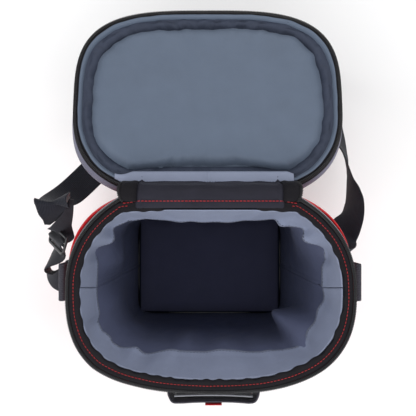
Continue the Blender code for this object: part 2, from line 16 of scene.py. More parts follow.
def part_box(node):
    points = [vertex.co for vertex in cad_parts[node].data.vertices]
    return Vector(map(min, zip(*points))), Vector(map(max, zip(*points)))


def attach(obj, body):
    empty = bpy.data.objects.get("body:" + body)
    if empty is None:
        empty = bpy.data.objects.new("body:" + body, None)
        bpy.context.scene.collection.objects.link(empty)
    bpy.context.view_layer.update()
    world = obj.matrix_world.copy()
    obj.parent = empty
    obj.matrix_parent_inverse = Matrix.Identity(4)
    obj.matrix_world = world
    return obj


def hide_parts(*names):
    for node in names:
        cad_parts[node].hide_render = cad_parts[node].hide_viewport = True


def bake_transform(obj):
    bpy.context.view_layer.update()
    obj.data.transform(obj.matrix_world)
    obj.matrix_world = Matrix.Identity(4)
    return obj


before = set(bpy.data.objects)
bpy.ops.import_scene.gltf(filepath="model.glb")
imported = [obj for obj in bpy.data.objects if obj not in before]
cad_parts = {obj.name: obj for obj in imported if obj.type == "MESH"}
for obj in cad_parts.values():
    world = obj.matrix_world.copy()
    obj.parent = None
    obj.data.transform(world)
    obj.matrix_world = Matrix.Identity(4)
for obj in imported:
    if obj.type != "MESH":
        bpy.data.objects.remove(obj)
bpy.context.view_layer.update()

# ---------------------------------------------------------------- sizes of the frame
RIM_Z = 0.280
BASE_HALF = (0.117, 0.0825)
BASE_SQUARENESS = 5.5
RIM_HALF_X = 0.149
RIM_FRONT = 0.1045
RIM_BACK = 0.111
RIM_FLAT_BACK = 0.092
RIM_CENTRE_Y = 0.006
RIM_SQUARENESS = (2.7, 2.2)          # front, back

HINGE_Y = 0.105
HINGE_Z = 0.268
LID_OPEN = math.radians(-190.0)
LID_HALF_X = 0.1447
LID_CENTRE = np.array((-0.0023, 0.007))
LID_FRONT = 0.108
LID_BACK = 0.1044
LID_FLAT_BACK = 0.0905
LID_SQUARENESS = (3.4, 2.7)          # front, back

HINGE_HALF_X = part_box("hinge_panel")[1].x
HEM_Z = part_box("collar_front")[0].z
ZIP_SPAN = (135.0, 405.0)            # the stretch of rim and lid that has the zip
COIL_INSET = 0.0018
WEBBING_HALF = 0.019
WEBBING_THICK = 0.0016
WEBBING_BEND = 0.0048                # from a bar's middle to the webbing that goes round it
RING_REACH = 0.0235                  # from a ring's upper bar to its lower one
RING_HALF_Y = 0.0213
RING_Y = 0.010
RING_BAR = {sign: Vector((sign * 0.148754, RING_Y, 0.242624)) for sign in (-1, 1)}

CAMERA_PLACE = (-0.002, 0.086, 0.830)
CAMERA_LENS = 47.6


# ---------------------------------------------------------------- small maths
def mix(low, high, share):
    return low + (high - low) * share


def smooth(low, high, value):
    share = np.clip((value - low) / (high - low), 0.0, 1.0)
    return share * share * (3 - 2 * share)


def bump(value, centre, width):
    """A soft hump of height 1 round centre, zero beyond width."""
    share = np.clip(np.abs(value - centre) / width, 0.0, 1.0)
    return (1 - share * share) ** 2


def turn_distance(angle, centre):
    """Signed distance between two polar angles, in degrees."""
    return (np.asarray(angle) - centre + 180.0) % 360.0 - 180.0


def bump_round(angle, centre, width):
    """The same hump on a ring, round a polar angle."""
    return bump(turn_distance(angle, centre), 0.0, width)


def unit(vectors):
    return vectors / np.maximum(np.linalg.norm(vectors, axis=-1, keepdims=True), 1e-9)


def spread(x, y, z):
    """3-D points from coordinates that broadcast together."""
    return np.stack(np.broadcast_arrays(x, y, z), -1)


def wander(points, scale, seed=0.0):
    """Smooth noise from -1 to 1 at each point of an array of 3-D points."""
    flat = np.asarray(points, float).reshape(-1, 3) * scale
    values = [noise.noise(Vector((x + seed, y - seed, z + 0.37 * seed))) for x, y, z in flat]
    return np.array(values).reshape(np.asarray(points).shape[:-1])


def wander_round(angle, waves, seed):
    """Smooth noise round a ring, with about that many waves in the full turn."""
    turn = np.radians(np.asarray(angle, float))
    radius = waves / (2 * math.pi)
    return wander(spread(np.cos(turn) * radius, np.sin(turn) * radius, seed), 1.0)


def corner_share(angle):
    """1 at the bag's four rounded corners, 0 at the middle of its sides."""
    return np.sin(2 * np.radians(angle)) ** 2


# ---------------------------------------------------------------- outlines
def superellipse(turn, half_x, half_y, squareness):
    across = (np.abs(np.cos(turn)) / half_x) ** squareness
    along = (np.abs(np.sin(turn)) / half_y) ** squareness
    return (across + along) ** (-1.0 / squareness)


def cut_flat(turn, radius, flat):
    sine = np.sin(turn)
    return np.where(sine > 1e-6, np.minimum(radius, flat / np.maximum(sine, 1e-6)), radius)


def body_point(angle, z, inset, squarer=0.0):
    """Points of the body's outline at height z, moved in by inset.

    squarer adds to the corners' squareness.
    """
    turn = np.radians(np.asarray(angle, float))
    z = np.asarray(z, float)
    share = z / RIM_Z
    behind = np.sin(turn) > 0
    half_x = mix(BASE_HALF[0], RIM_HALF_X, share) - inset
    half_y = mix(BASE_HALF[1], np.where(behind, RIM_BACK, RIM_FRONT), share) - inset
    rim_squareness = np.where(behind, RIM_SQUARENESS[1], RIM_SQUARENESS[0])
    squareness = mix(BASE_SQUARENESS, rim_squareness, share) + squarer
    radius = superellipse(turn, half_x, half_y, squareness)
    radius = cut_flat(turn, radius, mix(BASE_HALF[1], RIM_FLAT_BACK, share) - inset)
    x = radius * np.cos(turn)
    y = mix(0.0, RIM_CENTRE_Y, share) + radius * np.sin(turn)
    return spread(x, y, z)


# How far the sewn-on zip draws the rim in: polar angle, millimetres.
RIM_PULL = [(0, 1.4), (14, 2.2), (28, 2.8), (40, 2.2), (60, 0.0), (120, 0.0), (140, 2.0), (152, 3.3),
            (165, 3.8), (180, 3.2), (190, 2.8), (198, 1.8), (206, 0.1), (214, -1.5), (222, -1.3),
            (232, -0.9), (245, -1.5), (270, -2.6), (300, -2.2), (312, -1.6), (325, -1.0), (336, 0.2),
            (346, 0.9)]


def rim_pull(angle):
    angles, pulls = np.transpose(RIM_PULL)
    return np.interp(np.asarray(angle, float), angles, pulls, period=360.0) / 1000


def rim_point(angle, z, inset):
    return body_point(angle, z, np.asarray(inset) + rim_pull(angle))


def open_lid(points):
    """Turns points of the closed lid, given in the world, to the open lid."""
    points = np.asarray(points, float)
    y = points[..., 1] - HINGE_Y
    z = points[..., 2] - HINGE_Z
    cosine = math.cos(LID_OPEN)
    sine = math.sin(LID_OPEN)
    return spread(points[..., 0], HINGE_Y + y * cosine - z * sine, HINGE_Z + y * sine + z * cosine)


def closed_lid_point(angle, z, inset):
    turn = np.radians(np.asarray(angle, float))
    behind = np.sin(turn) > 0
    half_y = np.where(behind, LID_BACK, LID_FRONT) - inset
    squareness = np.where(behind, LID_SQUARENESS[1], LID_SQUARENESS[0])
    radius = superellipse(turn, LID_HALF_X - inset, half_y, squareness)
    radius = cut_flat(turn, radius, LID_FLAT_BACK - inset)
    return spread(LID_CENTRE[0] + radius * np.cos(turn), LID_CENTRE[1] + radius * np.sin(turn), z)


def lid_point(angle, z, inset):
    return open_lid(closed_lid_point(angle, z, inset))


def span_angles(span, step):
    count = max(2, int(round((span[1] - span[0]) / step)) + 1)
    return np.linspace(span[0], span[1], count)


# ---------------------------------------------------------------- meshes
def mesh_object(name, verts, faces, uvs, material):
    """uvs holds one pair for each corner of each face, in metres of cloth."""
    mesh = bpy.data.meshes.new(name)
    mesh.from_pydata([tuple(v) for v in verts], [], faces)
    if uvs is not None:
        layer = mesh.uv_layers.new(name="cloth")
        layer.data.foreach_set("uv", np.asarray(uvs, np.float32).ravel())
    mesh.materials.append(material)
    mesh.shade_smooth()
    made = bpy.data.objects.new(name, mesh)
    bpy.context.scene.collection.objects.link(made)
    return made


def face_out(made):
    """Turns every face of a closed piece outwards."""
    bm = bmesh.new()
    bm.from_mesh(made.data)
    bmesh.ops.recalc_face_normals(bm, faces=bm.faces)
    if bm.calc_volume(signed=True) < 0:
        bmesh.ops.reverse_faces(bm, faces=bm.faces)
    bm.to_mesh(made.data)
    bm.free()
    return made


def skin(rows, corners, closed=False, base=0):
    """Faces over rows of points: quads between rows, and a cap at each open end."""
    faces = []
    for i in range(rows if closed else rows - 1):
        low = base + i * corners
        high = base + (i + 1) % rows * corners
        for k in range(corners):
            m = (k + 1) % corners
            faces.append((low + k, low + m, high + m, high + k))
    if not closed:
        for low in (base, base + (rows - 1) * corners):
            faces.append(tuple(range(low, low + corners)))
    return faces


def ring_stack(name, rings, material):
    """A closed piece over a stack of flat rings, with its cloth laid out from above."""
    rings = np.asarray(rings, float)
    verts = rings.reshape(-1, 3)
    faces = skin(*rings.shape[:2])
    uvs = [verts[i][:2] for face in faces for i in face]
    return face_out(mesh_object(name, verts, faces, uvs, material))


def flat_ring(outline, height):
    """A ring of 3-D points from an array of (x, y) and a height, or one height each."""
    return np.concatenate([outline, np.broadcast_to(height, (len(outline),))[:, None]], 1)


def sweep(name, sections, material, closed=False):
    """A closed skin over sections, an array of (stations, corners, 3)."""
    sections = np.asarray(sections, float)
    count, corners = sections.shape[:2]
    along = np.linalg.norm(np.diff(sections, axis=0, append=sections[:1]), axis=-1).mean(axis=1)
    along = np.concatenate([[0.0], np.cumsum(along)])
    around = np.linalg.norm(np.diff(sections, axis=1, append=sections[:, :1]), axis=-1).mean(axis=0)
    around = np.concatenate([[0.0], np.cumsum(around)])
    uvs = []
    for i in range(count if closed else count - 1):
        for k in range(corners):
            uvs += [(along[i], around[k]), (along[i], around[k + 1]),
                    (along[i + 1], around[k + 1]), (along[i + 1], around[k])]
    if not closed:
        uvs += [(along[i], around[k]) for i in (0, count - 1) for k in range(corners)]
    faces = skin(count, corners, closed)
    return face_out(mesh_object(name, sections.reshape(-1, 3), faces, uvs, material))


def ring_sweep(name, point, profile, material, span=None, step=1.0):
    """A ring, or a sector, whose section is a list of (z, inset) corners.

    z and inset may be numbers or functions of the polar angle.
    """
    angles = np.arange(0.0, 360.0, step) if span is None else span_angles(span, step)
    columns = []
    for z, inset in profile:
        height = z(angles) if callable(z) else z
        depth = inset(angles) if callable(inset) else inset
        columns.append(point(angles, height, depth))
    return sweep(name, np.stack(columns, 1), material, span is None)


def resample(path, spacing):
    """Evenly spaced points along a polyline, and the unit tangents there."""
    path = np.asarray(path, float)
    lengths = np.concatenate([[0.0], np.cumsum(np.linalg.norm(np.diff(path, axis=0), axis=1))])
    count = max(2, int(lengths[-1] / spacing) + 1)
    wanted = np.linspace(0.0, lengths[-1], count)
    places = np.stack([np.interp(wanted, lengths, path[:, k]) for k in range(3)], -1)
    return places, unit(np.gradient(places, axis=0))


def tube(name, path, radius, material, sides=10, closed=False, up=(0.0, 0.0, 1.0), flatten=1.0):
    """A tube along a path.  flatten scales it along the `up` side."""
    path = np.asarray(path, float)
    if closed:
        ahead = np.roll(path, -1, axis=0) - np.roll(path, 1, axis=0)
    else:
        ahead = np.gradient(path, axis=0)
    ahead = unit(ahead)
    side = np.cross(ahead, np.asarray(up, float))
    short = np.linalg.norm(side, axis=1) < 0.05
    side[short] = np.cross(ahead[short], (1.0, 0.0, 0.0))
    side = unit(side)
    over = np.cross(side, ahead)
    radius = np.broadcast_to(np.asarray(radius, float), (len(path),))[:, None, None]
    turn = np.linspace(0.0, 2 * math.pi, sides, endpoint=False)[None, :, None]
    sections = path[:, None] + radius * (side[:, None] * np.cos(turn)
                                         + over[:, None] * np.sin(turn) * flatten)
    return sweep(name, sections, material, closed)


def rounded_corners(half_x, half_y, corner):
    """(x, y) points round a rectangle with rounded corners, seven to a corner."""
    points = []
    for quarter, (sign_x, sign_y) in enumerate(((1, 1), (-1, 1), (-1, -1), (1, -1))):
        for k in range(7):
            turn = math.radians(90 * quarter + 15 * k)
            points.append(((half_x - corner) * sign_x + corner * math.cos(turn),
                           (half_y - corner) * sign_y + corner * math.sin(turn)))
    return points


def cord_profile(z, inset, high, wide, sides=10):
    """The (z, inset) corners of a round cord."""
    turns = np.linspace(0, 2 * math.pi, sides, endpoint=False)
    return [(z + high * math.sin(t), inset - wide * math.cos(t)) for t in turns]


def joined(name, parts):
    """Joins objects into the first one and names it."""
    with bpy.context.temp_override(active_object=parts[0], selected_editable_objects=parts,
                                   object=parts[0]):
        bpy.ops.object.join()
    parts[0].name = name
    parts[0].data.name = name
    return parts[0]


def stitch_row(name, path, material, length=0.0026, gap=0.0010, radius=0.00034, up=(0, 0, 1)):
    """A row of sewn stitches: short rounded threads that dip in at both ends."""
    places, tangents = resample(path, length + gap)
    up = np.asarray(up, float)
    verts = []
    faces = []
    sides = 6
    steps = ((-0.5, 0.35, -0.9), (-0.32, 1.0, 0.0), (0.32, 1.0, 0.0), (0.5, 0.35, -0.9))
    for place, ahead in zip(places[:-1], tangents[:-1]):
        side = np.cross(ahead, up)
        side /= max(np.linalg.norm(side), 1e-9)
        over = np.cross(side, ahead)
        base = len(verts)
        middle = place + ahead * (length + gap) * 0.5
        for along, thick, lift in steps:
            centre = middle + ahead * along * length + over * lift * radius
            for k in range(sides):
                turn = 2 * math.pi * k / sides
                spoke = side * math.cos(turn) + over * math.sin(turn)
                verts.append(centre + spoke * radius * thick)
        faces += skin(len(steps), sides, base=base)
    return face_out(mesh_object(name, verts, faces, None, material))


def zip_coil(name, path, inward, material, wide=0.0019, high=0.0014, pitch=0.00165, wire=0.00042):
    """A nylon coil wound along a path; inward(place) points to the coil's flat side."""
    per_turn = 12
    places, tangents = resample(path, pitch / per_turn)
    out = inward(places)
    out = unit(out - tangents * (out * tangents).sum(1, keepdims=True))
    over = np.cross(tangents, out)
    turn = 2 * math.pi * np.arange(len(places)) / per_turn
    helix = places + out * (wide * np.cos(turn))[:, None] + over * (high * np.sin(turn))[:, None]
    thread = tube(name, helix, wire, material, sides=5, up=(0.13, 0.21, 0.97))
    core = tube(name + "_core", places[::6], wide * 0.80, material, sides=8, flatten=0.62)
    return joined(name, [thread, core])


# ---------------------------------------------------------------- materials
class Shader:
    """A material being built: its nodes, its links and its Principled shader."""

    def __init__(self, name, roughness, metallic=0.0, specular=0.5):
        self.material = bpy.data.materials.new(name)
        self.material.use_nodes = True
        self.tree = self.material.node_tree
        self.bsdf = self.tree.nodes["Principled BSDF"]
        self.bsdf.inputs["Roughness"].default_value = roughness
        self.bsdf.inputs["Metallic"].default_value = metallic
        self.bsdf.inputs["Specular IOR Level"].default_value = specular

    def node(self, kind, **values):
        made = self.tree.nodes.new(kind)
        for key, value in values.items():
            if hasattr(made, key):
                setattr(made, key, value)
            else:
                made.inputs[key.replace("_", " ")].default_value = value
        return made

    def link(self, output, target):
        self.tree.links.new(output, target)

    def place(self):
        return self.node("ShaderNodeTexCoord").outputs["Object"]

    def cloth(self):
        made = self.node("ShaderNodeUVMap")
        made.uv_map = "cloth"
        return made.outputs["UV"]

    def noise(self, vector, scale, detail=3.0, roughness=0.5):
        made = self.node("ShaderNodeTexNoise", Scale=scale, Detail=detail, Roughness=roughness)
        self.link(vector, made.inputs["Vector"])
        return made.outputs["Fac"]

    def wave(self, vector, pitch, direction, distortion=0.0):
        made = self.node("ShaderNodeTexWave", Scale=2 * math.pi / (20.0 * pitch), Distortion=distortion)
        made.bands_direction = direction
        self.link(vector, made.inputs["Vector"])
        return made.outputs["Fac"]

    def math(self, operation, first, second):
        made = self.node("ShaderNodeMath", operation=operation)
        for socket, value in zip(made.inputs, (first, second)):
            if isinstance(value, (int, float)):
                socket.default_value = value
            else:
                self.link(value, socket)
        return made.outputs[0]

    def weighted(self, first, *rest):
        """The sum of (output, weight) pairs."""
        term = self.math("MULTIPLY", *first)
        return self.math("ADD", term, self.weighted(*rest)) if rest else term

    def ramp(self, value, stops):
        made = self.node("ShaderNodeValToRGB")
        self.link(value, made.inputs["Fac"])
        elements = made.color_ramp.elements
        while len(elements) < len(stops):
            elements.new(0.5)
        for element, (place, colour) in zip(elements, stops):
            element.position = place
            element.color = (*colour, 1.0)
        return made.outputs["Color"]

    def colour(self, output):
        self.link(output, self.bsdf.inputs["Base Color"])

    def bumps(self, *layers):
        """Stacks bump layers, each (height, distance in metres, strength)."""
        normal = None
        for height, distance, strength in layers:
            made = self.node("ShaderNodeBump", Distance=distance, Strength=strength)
            self.link(height, made.inputs["Height"])
            if normal is not None:
                self.link(normal, made.inputs["Normal"])
            normal = made.outputs["Normal"]
        self.link(normal, self.bsdf.inputs["Normal"])


def shade(colour, factor):
    return tuple(min(1.0, c * factor) for c in colour)


def woven(name, colour, pitch, roughness, sheen=0.0, crumple=0.0004, mottle=0.10, slubs=0.5):
    """Plain-woven cloth: warp and weft threads, uneven dye and small creases."""
    made = Shader(name, roughness, specular=0.22)
    made.bsdf.inputs["Sheen Weight"].default_value = sheen
    made.bsdf.inputs["Sheen Roughness"].default_value = 0.4
    cloth = made.cloth()
    place = made.place()
    warp = made.wave(cloth, pitch, "X", 0.3)
    weft = made.wave(cloth, pitch, "Y", 0.3)
    threads = made.math("MULTIPLY", warp, weft)
    cloud = made.noise(place, 45.0, 4.0)
    grain = made.noise(cloth, 900.0, 2.0)
    blend = made.weighted((threads, 0.35 * slubs), (cloud, 0.55), (grain, 0.30))
    made.colour(made.ramp(blend, [(0.25, shade(colour, 1 - 1.6 * mottle)), (0.50, colour),
                                  (0.80, shade(colour, 1 + 1.5 * mottle))]))
    creases = made.noise(place, 95.0, 5.0, 0.55)
    made.bumps((creases, crumple * 3, 0.6), (threads, pitch * 0.35, 0.35))
    return made.material


def webbing_finish(name, colour, roughness):
    """Heavy woven strap: ribs along its length crossed by fine herringbone threads."""
    made = Shader(name, roughness, specular=0.25)
    made.bsdf.inputs["Sheen Weight"].default_value = 0.05
    cloth = made.cloth()
    ribs = made.wave(cloth, 0.0019, "Y")
    threads = made.wave(cloth, 0.0011, "X", 1.2)
    chevron = made.wave(cloth, 0.0016, "DIAGONAL")
    fuzz = made.noise(made.place(), 260.0, 4.0)
    blend = made.weighted((ribs, 0.35), (chevron, 0.25), (fuzz, 0.5))
    made.colour(made.ramp(blend, [(0.2, shade(colour, 0.6)), (0.55, colour), (0.9, shade(colour, 1.9))]))
    made.bumps((ribs, 0.0005, 0.7), (threads, 0.0003, 0.6), (fuzz, 0.0002, 0.3))
    return made.material


def moulded(name, colour, roughness, coat=0.0, metallic=0.0):
    """Moulded plastic or painted metal with a fine grain and handling marks."""
    made = Shader(name, roughness, metallic)
    made.bsdf.inputs["Coat Weight"].default_value = coat
    place = made.place()
    grain = made.noise(place, 1400.0, 3.0)
    marks = made.noise(place, 120.0, 6.0, 0.7)
    made.colour(made.ramp(marks, [(0.3, shade(colour, 0.75)), (0.6, colour), (0.85, shade(colour, 1.6))]))
    rough = made.math("ADD", made.math("MULTIPLY", marks, 0.25), roughness - 0.1)
    made.link(rough, made.bsdf.inputs["Roughness"])
    made.bumps((grain, 0.00012, 0.35), (marks, 0.0003, 0.15))
    return made.material


def thread_finish(name, colour):
    made = Shader(name, 0.55)
    place = made.place()
    strands = made.wave(place, 0.0005, "DIAGONAL", 2.0)
    fuzz = made.noise(place, 700.0, 2.0)
    made.colour(made.ramp(fuzz, [(0.3, shade(colour, 0.7)), (0.7, colour)]))
    made.bumps((strands, 0.00015, 0.6))
    return made.material


def cellular(name, colour):
    """Closed-cell foam or pressed board, seen only where a panel is taken off."""
    made = Shader(name, 0.95, specular=0.2)
    place = made.place()
    cells = made.node("ShaderNodeTexVoronoi", Scale=420.0)
    made.link(place, cells.inputs["Vector"])
    cloud = made.noise(place, 60.0, 4.0)
    made.colour(made.ramp(cloud, [(0.3, shade(colour, 0.85)), (0.7, shade(colour, 1.1))]))
    made.bumps((cells.outputs["Distance"], 0.0004, 0.6))
    return made.material


LINING = woven("lining", (0.108, 0.138, 0.192), 0.00055, 0.50, sheen=0.06, crumple=0.0003, mottle=0.05)
# A darker copy of the lining: painted shade, for the lid's gathered groove and the cloth round the floor
# board.
LINING_PAINTED_SHADE = woven("lining_painted_shade", (0.042, 0.052, 0.082), 0.00055, 0.60, crumple=0.0004, mottle=0.08)
# A lighter copy of the lining: painted light, for the collar and the lid's hem strip.
LINING_PAINTED_LIGHT = woven("lining_painted_light", (0.262, 0.296, 0.405), 0.00055, 0.50, sheen=0.10,
                     crumple=0.0003, mottle=0.05)
LINER = woven("liner_cloth", (0.122, 0.138, 0.222), 0.00055, 0.50, sheen=0.06, crumple=0.0004, mottle=0.06)
FLOOR_CLOTH = woven("floor_cloth", (0.175, 0.180, 0.285), 0.00055, 0.62, crumple=0.0002, mottle=0.06)
BLACK = woven("black_fabric", (0.0080, 0.0078, 0.0105), 0.00080, 0.75, sheen=0.03, crumple=0.0003,
              mottle=0.15)
HINGE_CLOTH = woven("hinge_cloth", (0.017, 0.0165, 0.027), 0.00070, 0.66, sheen=0.05, crumple=0.0005,
                    mottle=0.14)
RED = woven("red_fabric", (0.60, 0.008, 0.014), 0.00080, 0.58, sheen=0.05, crumple=0.0003, mottle=0.10)
GUSSET = woven("gusset_cloth", (0.17, 0.17, 0.23), 0.00070, 0.60, sheen=0.10, crumple=0.0003, mottle=0.08)
TAPE = woven("zip_tape", (0.0045, 0.0036, 0.0062), 0.00060, 0.72, sheen=0.03, crumple=0.0004, mottle=0.20)
TRIM = woven("light_trim", (0.30, 0.31, 0.34), 0.00060, 0.55, crumple=0.0002, mottle=0.08)
STRAP = webbing_finish("strap_webbing", (0.0088, 0.0102, 0.0175), 0.66)
# A lighter copy of the strap webbing: painted light, a satin highlight on the adjuster loop.
STRAP_PAINTED_LIGHT = webbing_finish("webbing_painted_light", (0.019, 0.019, 0.026), 0.58)
HANDLE_WEB = webbing_finish("handle_webbing", (0.038, 0.036, 0.048), 0.62)
COIL = moulded("zip_coil", (0.0085, 0.0080, 0.0105), 0.48)
PLASTIC = moulded("moulded_plastic", (0.0120, 0.0120, 0.0155), 0.38, coat=0.15)
ZINC = moulded("zinc_slider", (0.10, 0.10, 0.12), 0.36, metallic=0.85)
RED_THREAD = thread_finish("red_thread", (0.50, 0.014, 0.018))
DARK_THREAD = thread_finish("dark_thread", (0.020, 0.020, 0.026))
GREY_THREAD = thread_finish("grey_thread", (0.055, 0.066, 0.098))
FOAM = cellular("foam", (0.55, 0.55, 0.52))
BOARD = cellular("board", (0.10, 0.10, 0.11))


def place_piece(piece, body, slot, *nodes):
    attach(piece, body)
    finish_piece(piece, slot, *nodes)
    return piece


def finish_piece(piece, slot, *nodes):
    if nodes:
        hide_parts(*nodes)
    return piece


def blend_piece(piece, bodies, start, end, slot, *nodes):
    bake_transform(piece)
    finish_piece(piece, slot, *nodes)
    return piece


# ---------------------------------------------------------------- stage
LIGHT_AIM = (0.0, 0.05, 0.2)
# Name, place, size across and down, watts.
SOFTBOXES = [
    ("front_softbox", (-0.25, -1.45, 1.55), (1.6, 1.0), 31.0),
    ("back_softbox", (0.2, 1.65, 1.45), (1.6, 0.9), 17.0),
    ("left_softbox", (-1.7, 0.1, 1.25), (0.9, 1.4), 12.0),
    ("right_softbox", (1.7, 0.1, 1.25), (0.9, 1.4), 12.0),
]
SKY_COLOUR = (0.97, 0.98, 1.0, 1.0)
SKY_STRENGTH = 0.31


def make_stage():
    scene = bpy.context.scene
    scene.view_settings.view_transform = "Standard"
    bpy.ops.mesh.primitive_plane_add(size=6.0)
    floor = bpy.context.object
    floor.name = "studio_floor"
    paper = Shader("studio_paper", 0.9, specular=0.1)
    cloud = paper.noise(paper.place(), 3.0)
    paper.colour(paper.ramp(cloud, [(0.3, (0.94, 0.94, 0.94)), (0.7, (0.96, 0.96, 0.96))]))
    floor.data.materials.append(paper.material)

    world = bpy.data.worlds.new("studio")
    world.use_nodes = True
    sky = world.node_tree.nodes["Background"].inputs
    sky["Color"].default_value = SKY_COLOUR
    sky["Strength"].default_value = SKY_STRENGTH
    scene.world = world

    for name, place, size, power in SOFTBOXES:
        light = bpy.data.lights.new(name, "AREA")
        light.shape = "RECTANGLE"
        light.size, light.size_y = size
        light.energy = power
        holder = bpy.data.objects.new(name, light)
        holder.location = place
        aim = Vector(LIGHT_AIM) - Vector(place)
        holder.rotation_euler = aim.to_track_quat("-Z", "Y").to_euler()
        scene.collection.objects.link(holder)

    lens = bpy.data.cameras.new("camera")
    lens.lens = CAMERA_LENS
    lens.sensor_width = 36.0
    lens.clip_start = 0.01
    camera = bpy.data.objects.new("camera", lens)
    camera.location = CAMERA_PLACE
    scene.collection.objects.link(camera)
    scene.camera = camera


# ---------------------------------------------------------------- outer shell
PANEL_SPANS = {"right": (-50.0, 50.0), "back": (50.0, 130.0), "left": (130.0, 230.0), "front": (230.0, 310.0)}
PANEL_Z = (0.0019, 0.2722)
SHOULDER_Z = 0.262                   # where the red panels swell at their top corners


def top_pull(angle, height):
    """The rim's pull, which fades out just under the rim."""
    return rim_pull(angle) * smooth(SHOULDER_Z, PANEL_Z[1], height)


def panel_face(side, angles, levels):
    """The outer face of a padded panel: full in the middle, pulled in at its seams."""
    first, last = PANEL_SPANS[side]
    turn, height = np.meshgrid(angles, levels, indexing="ij")
    across = np.clip((turn - first) / (last - first), 0.0, 1.0)
    up = (height - PANEL_Z[0]) / (PANEL_Z[1] - PANEL_Z[0])
    full = (np.sin(math.pi * across) ** 0.45) * (np.sin(math.pi * np.clip(up, 0.0, 1.0)) ** 0.5)
    base = body_point(turn, height, 0.0)
    sag = wander(base, 13.0, seed=3.0) * 0.0018 + wander(base * (1, 1, 2.2), 34.0, seed=8.0) * 0.0007
    outward = -0.0006 + full * (0.0030 + sag)
    shoulder = bump_round(turn, 26.0, 21.0) + bump_round(turn, 154.0, 21.0)
    outward = outward + 0.0022 * shoulder * bump(height, SHOULDER_Z, 0.035)
    beside_ring = bump_round(turn, 0.0, 18.0) + bump_round(turn, 180.0, 18.0)
    outward = outward - 0.0026 * beside_ring * bump(height, 0.222, 0.040)
    return body_point(turn, height, top_pull(turn, height) * (1 - 0.5 * shoulder) - outward)


def make_panels():
    levels = np.linspace(*PANEL_Z, 44)
    for side, span in PANEL_SPANS.items():
        cloth, slot = (RED, "red_fabric") if side in ("left", "right") else (BLACK, "black_fabric")
        angles = span_angles((span[0] + 0.10, span[1] - 0.10), 1.6)
        outer = panel_face(side, angles, levels)
        low = levels[None, ::6][:, ::-1]
        inner = body_point(angles[:, None], low, 0.0016 + top_pull(angles[:, None], low))
        panel = sweep(f"{side}_panel_cloth", np.concatenate([outer, inner], 1), cloth)
        place_piece(panel, "bag_body", slot, f"{side}_panel")
        if side in ("front", "back"):
            continue
        rows = []
        for edge, sign in ((span[0], 1), (span[1], -1)):
            for offset in (1.1, 2.6):
                path = panel_face(side, np.array([edge + sign * offset]), levels)[0]
                outwards = path * (1, 1, 0)
                lifted = path + unit(outwards) * 0.0001
                normal = outwards.mean(axis=0)
                normal = normal / np.linalg.norm(normal)
                rows.append(stitch_row(f"{side}_seam", lifted, DARK_THREAD, up=normal))
        place_piece(joined(f"{side}_panel_stitching", rows), "bag_body", "black_fabric")
    seams = []
    for _, edge in PANEL_SPANS.values():
        path = body_point(edge, levels, -0.0004)
        seams.append(tube("corner_piping", path, 0.0013, BLACK, sides=10, up=(0.0, 1.0, 0.0)))
    place_piece(joined("corner_piping", seams), "bag_body", "black_fabric")


def make_base():
    bottom = [(0.0010, 0.0300), (0.0002, 0.0080), (0.0000, 0.0020), (0.0006, 0.0003), (0.0014, 0.0003),
              (0.0016, 0.0020), (0.0017, 0.0300)]
    angles = np.arange(0.0, 360.0, 2.0)
    base = ring_stack("base_cloth", [body_point(angles, z, inset) for z, inset in bottom], BLACK)
    place_piece(base, "bag_body", "black_fabric", "base_panel")
    binding = [(0.0004, -0.0004), (0.0018, -0.0022), (0.0080, -0.0026), (0.0122, -0.0020), (0.0128, -0.0006),
               (0.0120, 0.0004), (0.0024, 0.0004)]
    binding = ring_sweep("base_binding", body_point, binding, TAPE, step=2.0)
    place_piece(binding, "bag_body", "black_fabric")
    path = body_point(np.arange(0.0, 361.0, 1.0), 0.0105, -0.0025)
    place_piece(stitch_row("base_stitching", path, DARK_THREAD), "bag_body", "black_fabric")


# ---------------------------------------------------------------- rim
def back_share(angle, outer=46.0, inner=34.0):
    """1 along the flat hinge edge, 0 elsewhere."""
    return smooth(outer, inner, np.abs(turn_distance(angle, 90.0)))


def tape_edge(angle):
    """Inset of the rim tape's gathered inner edge."""
    turn = np.radians(np.asarray(angle, float))
    waves = 0.0010 * np.sin(47 * turn + 1.6 * np.sin(3 * turn)) * (1 - 0.6 * back_share(angle))
    return 0.0142 + 0.7 * waves + 0.0016 * wander_round(angle, 34, 4.0)


def tape_lift(angle):
    """Height of the tape's ripples.  Under the hinge cloth it lies low."""
    ripples = 0.0007 * wander_round(angle, 44, 9.0) + 0.0003 * wander_round(angle, 90, 2.0)
    return ripples - 0.0014 * back_share(angle, 44.0, 36.0)


def stitch_inset(angle):
    return 0.0084 - 0.0030 * back_share(angle)


def make_rim():
    cord = ring_sweep("rim_piping_cord", rim_point, cord_profile(0.2744, 0.0003, 0.0014, 0.0013), TRIM)
    place_piece(cord, "bag_body", "light_trim", "rim_piping")

    def off(base, field=tape_lift):
        return lambda angle: base + field(angle)

    profile = [(0.2770, 0.0040), (0.2783, 0.0038), (0.2789, 0.0052), (off(0.2787), 0.0070),
               (off(0.2782), stitch_inset), (off(0.2790), 0.0104), (off(0.2792), 0.0124),
               (off(0.2786), off(-0.0006, tape_edge)), (off(0.2777), tape_edge),
               (off(0.2768), off(-0.0008, tape_edge)), (0.2768, 0.0100)]
    tape = ring_sweep("rim_tape", rim_point, profile, TAPE, (ZIP_SPAN[0] - 14, ZIP_SPAN[1] + 14), 0.5)
    place_piece(tape, "bag_body", "black_fabric", "zipper_tape_body")

    angles = span_angles(ZIP_SPAN, 0.5)
    path = rim_point(angles, 0.27870 + tape_lift(angles), stitch_inset(angles))
    place_piece(stitch_row("rim_stitching", path, RED_THREAD, radius=0.00036), "bag_body", "red_fabric")

    coil = zip_coil("body_zip_coil", rim_point(angles, 0.2779, COIL_INSET),
                    lambda places: np.array((0.0, RIM_CENTRE_Y, 0.0)) - places * (1, 1, 0), COIL)
    place_piece(coil, "bag_body", "black_plastic", "zipper_coil_body")


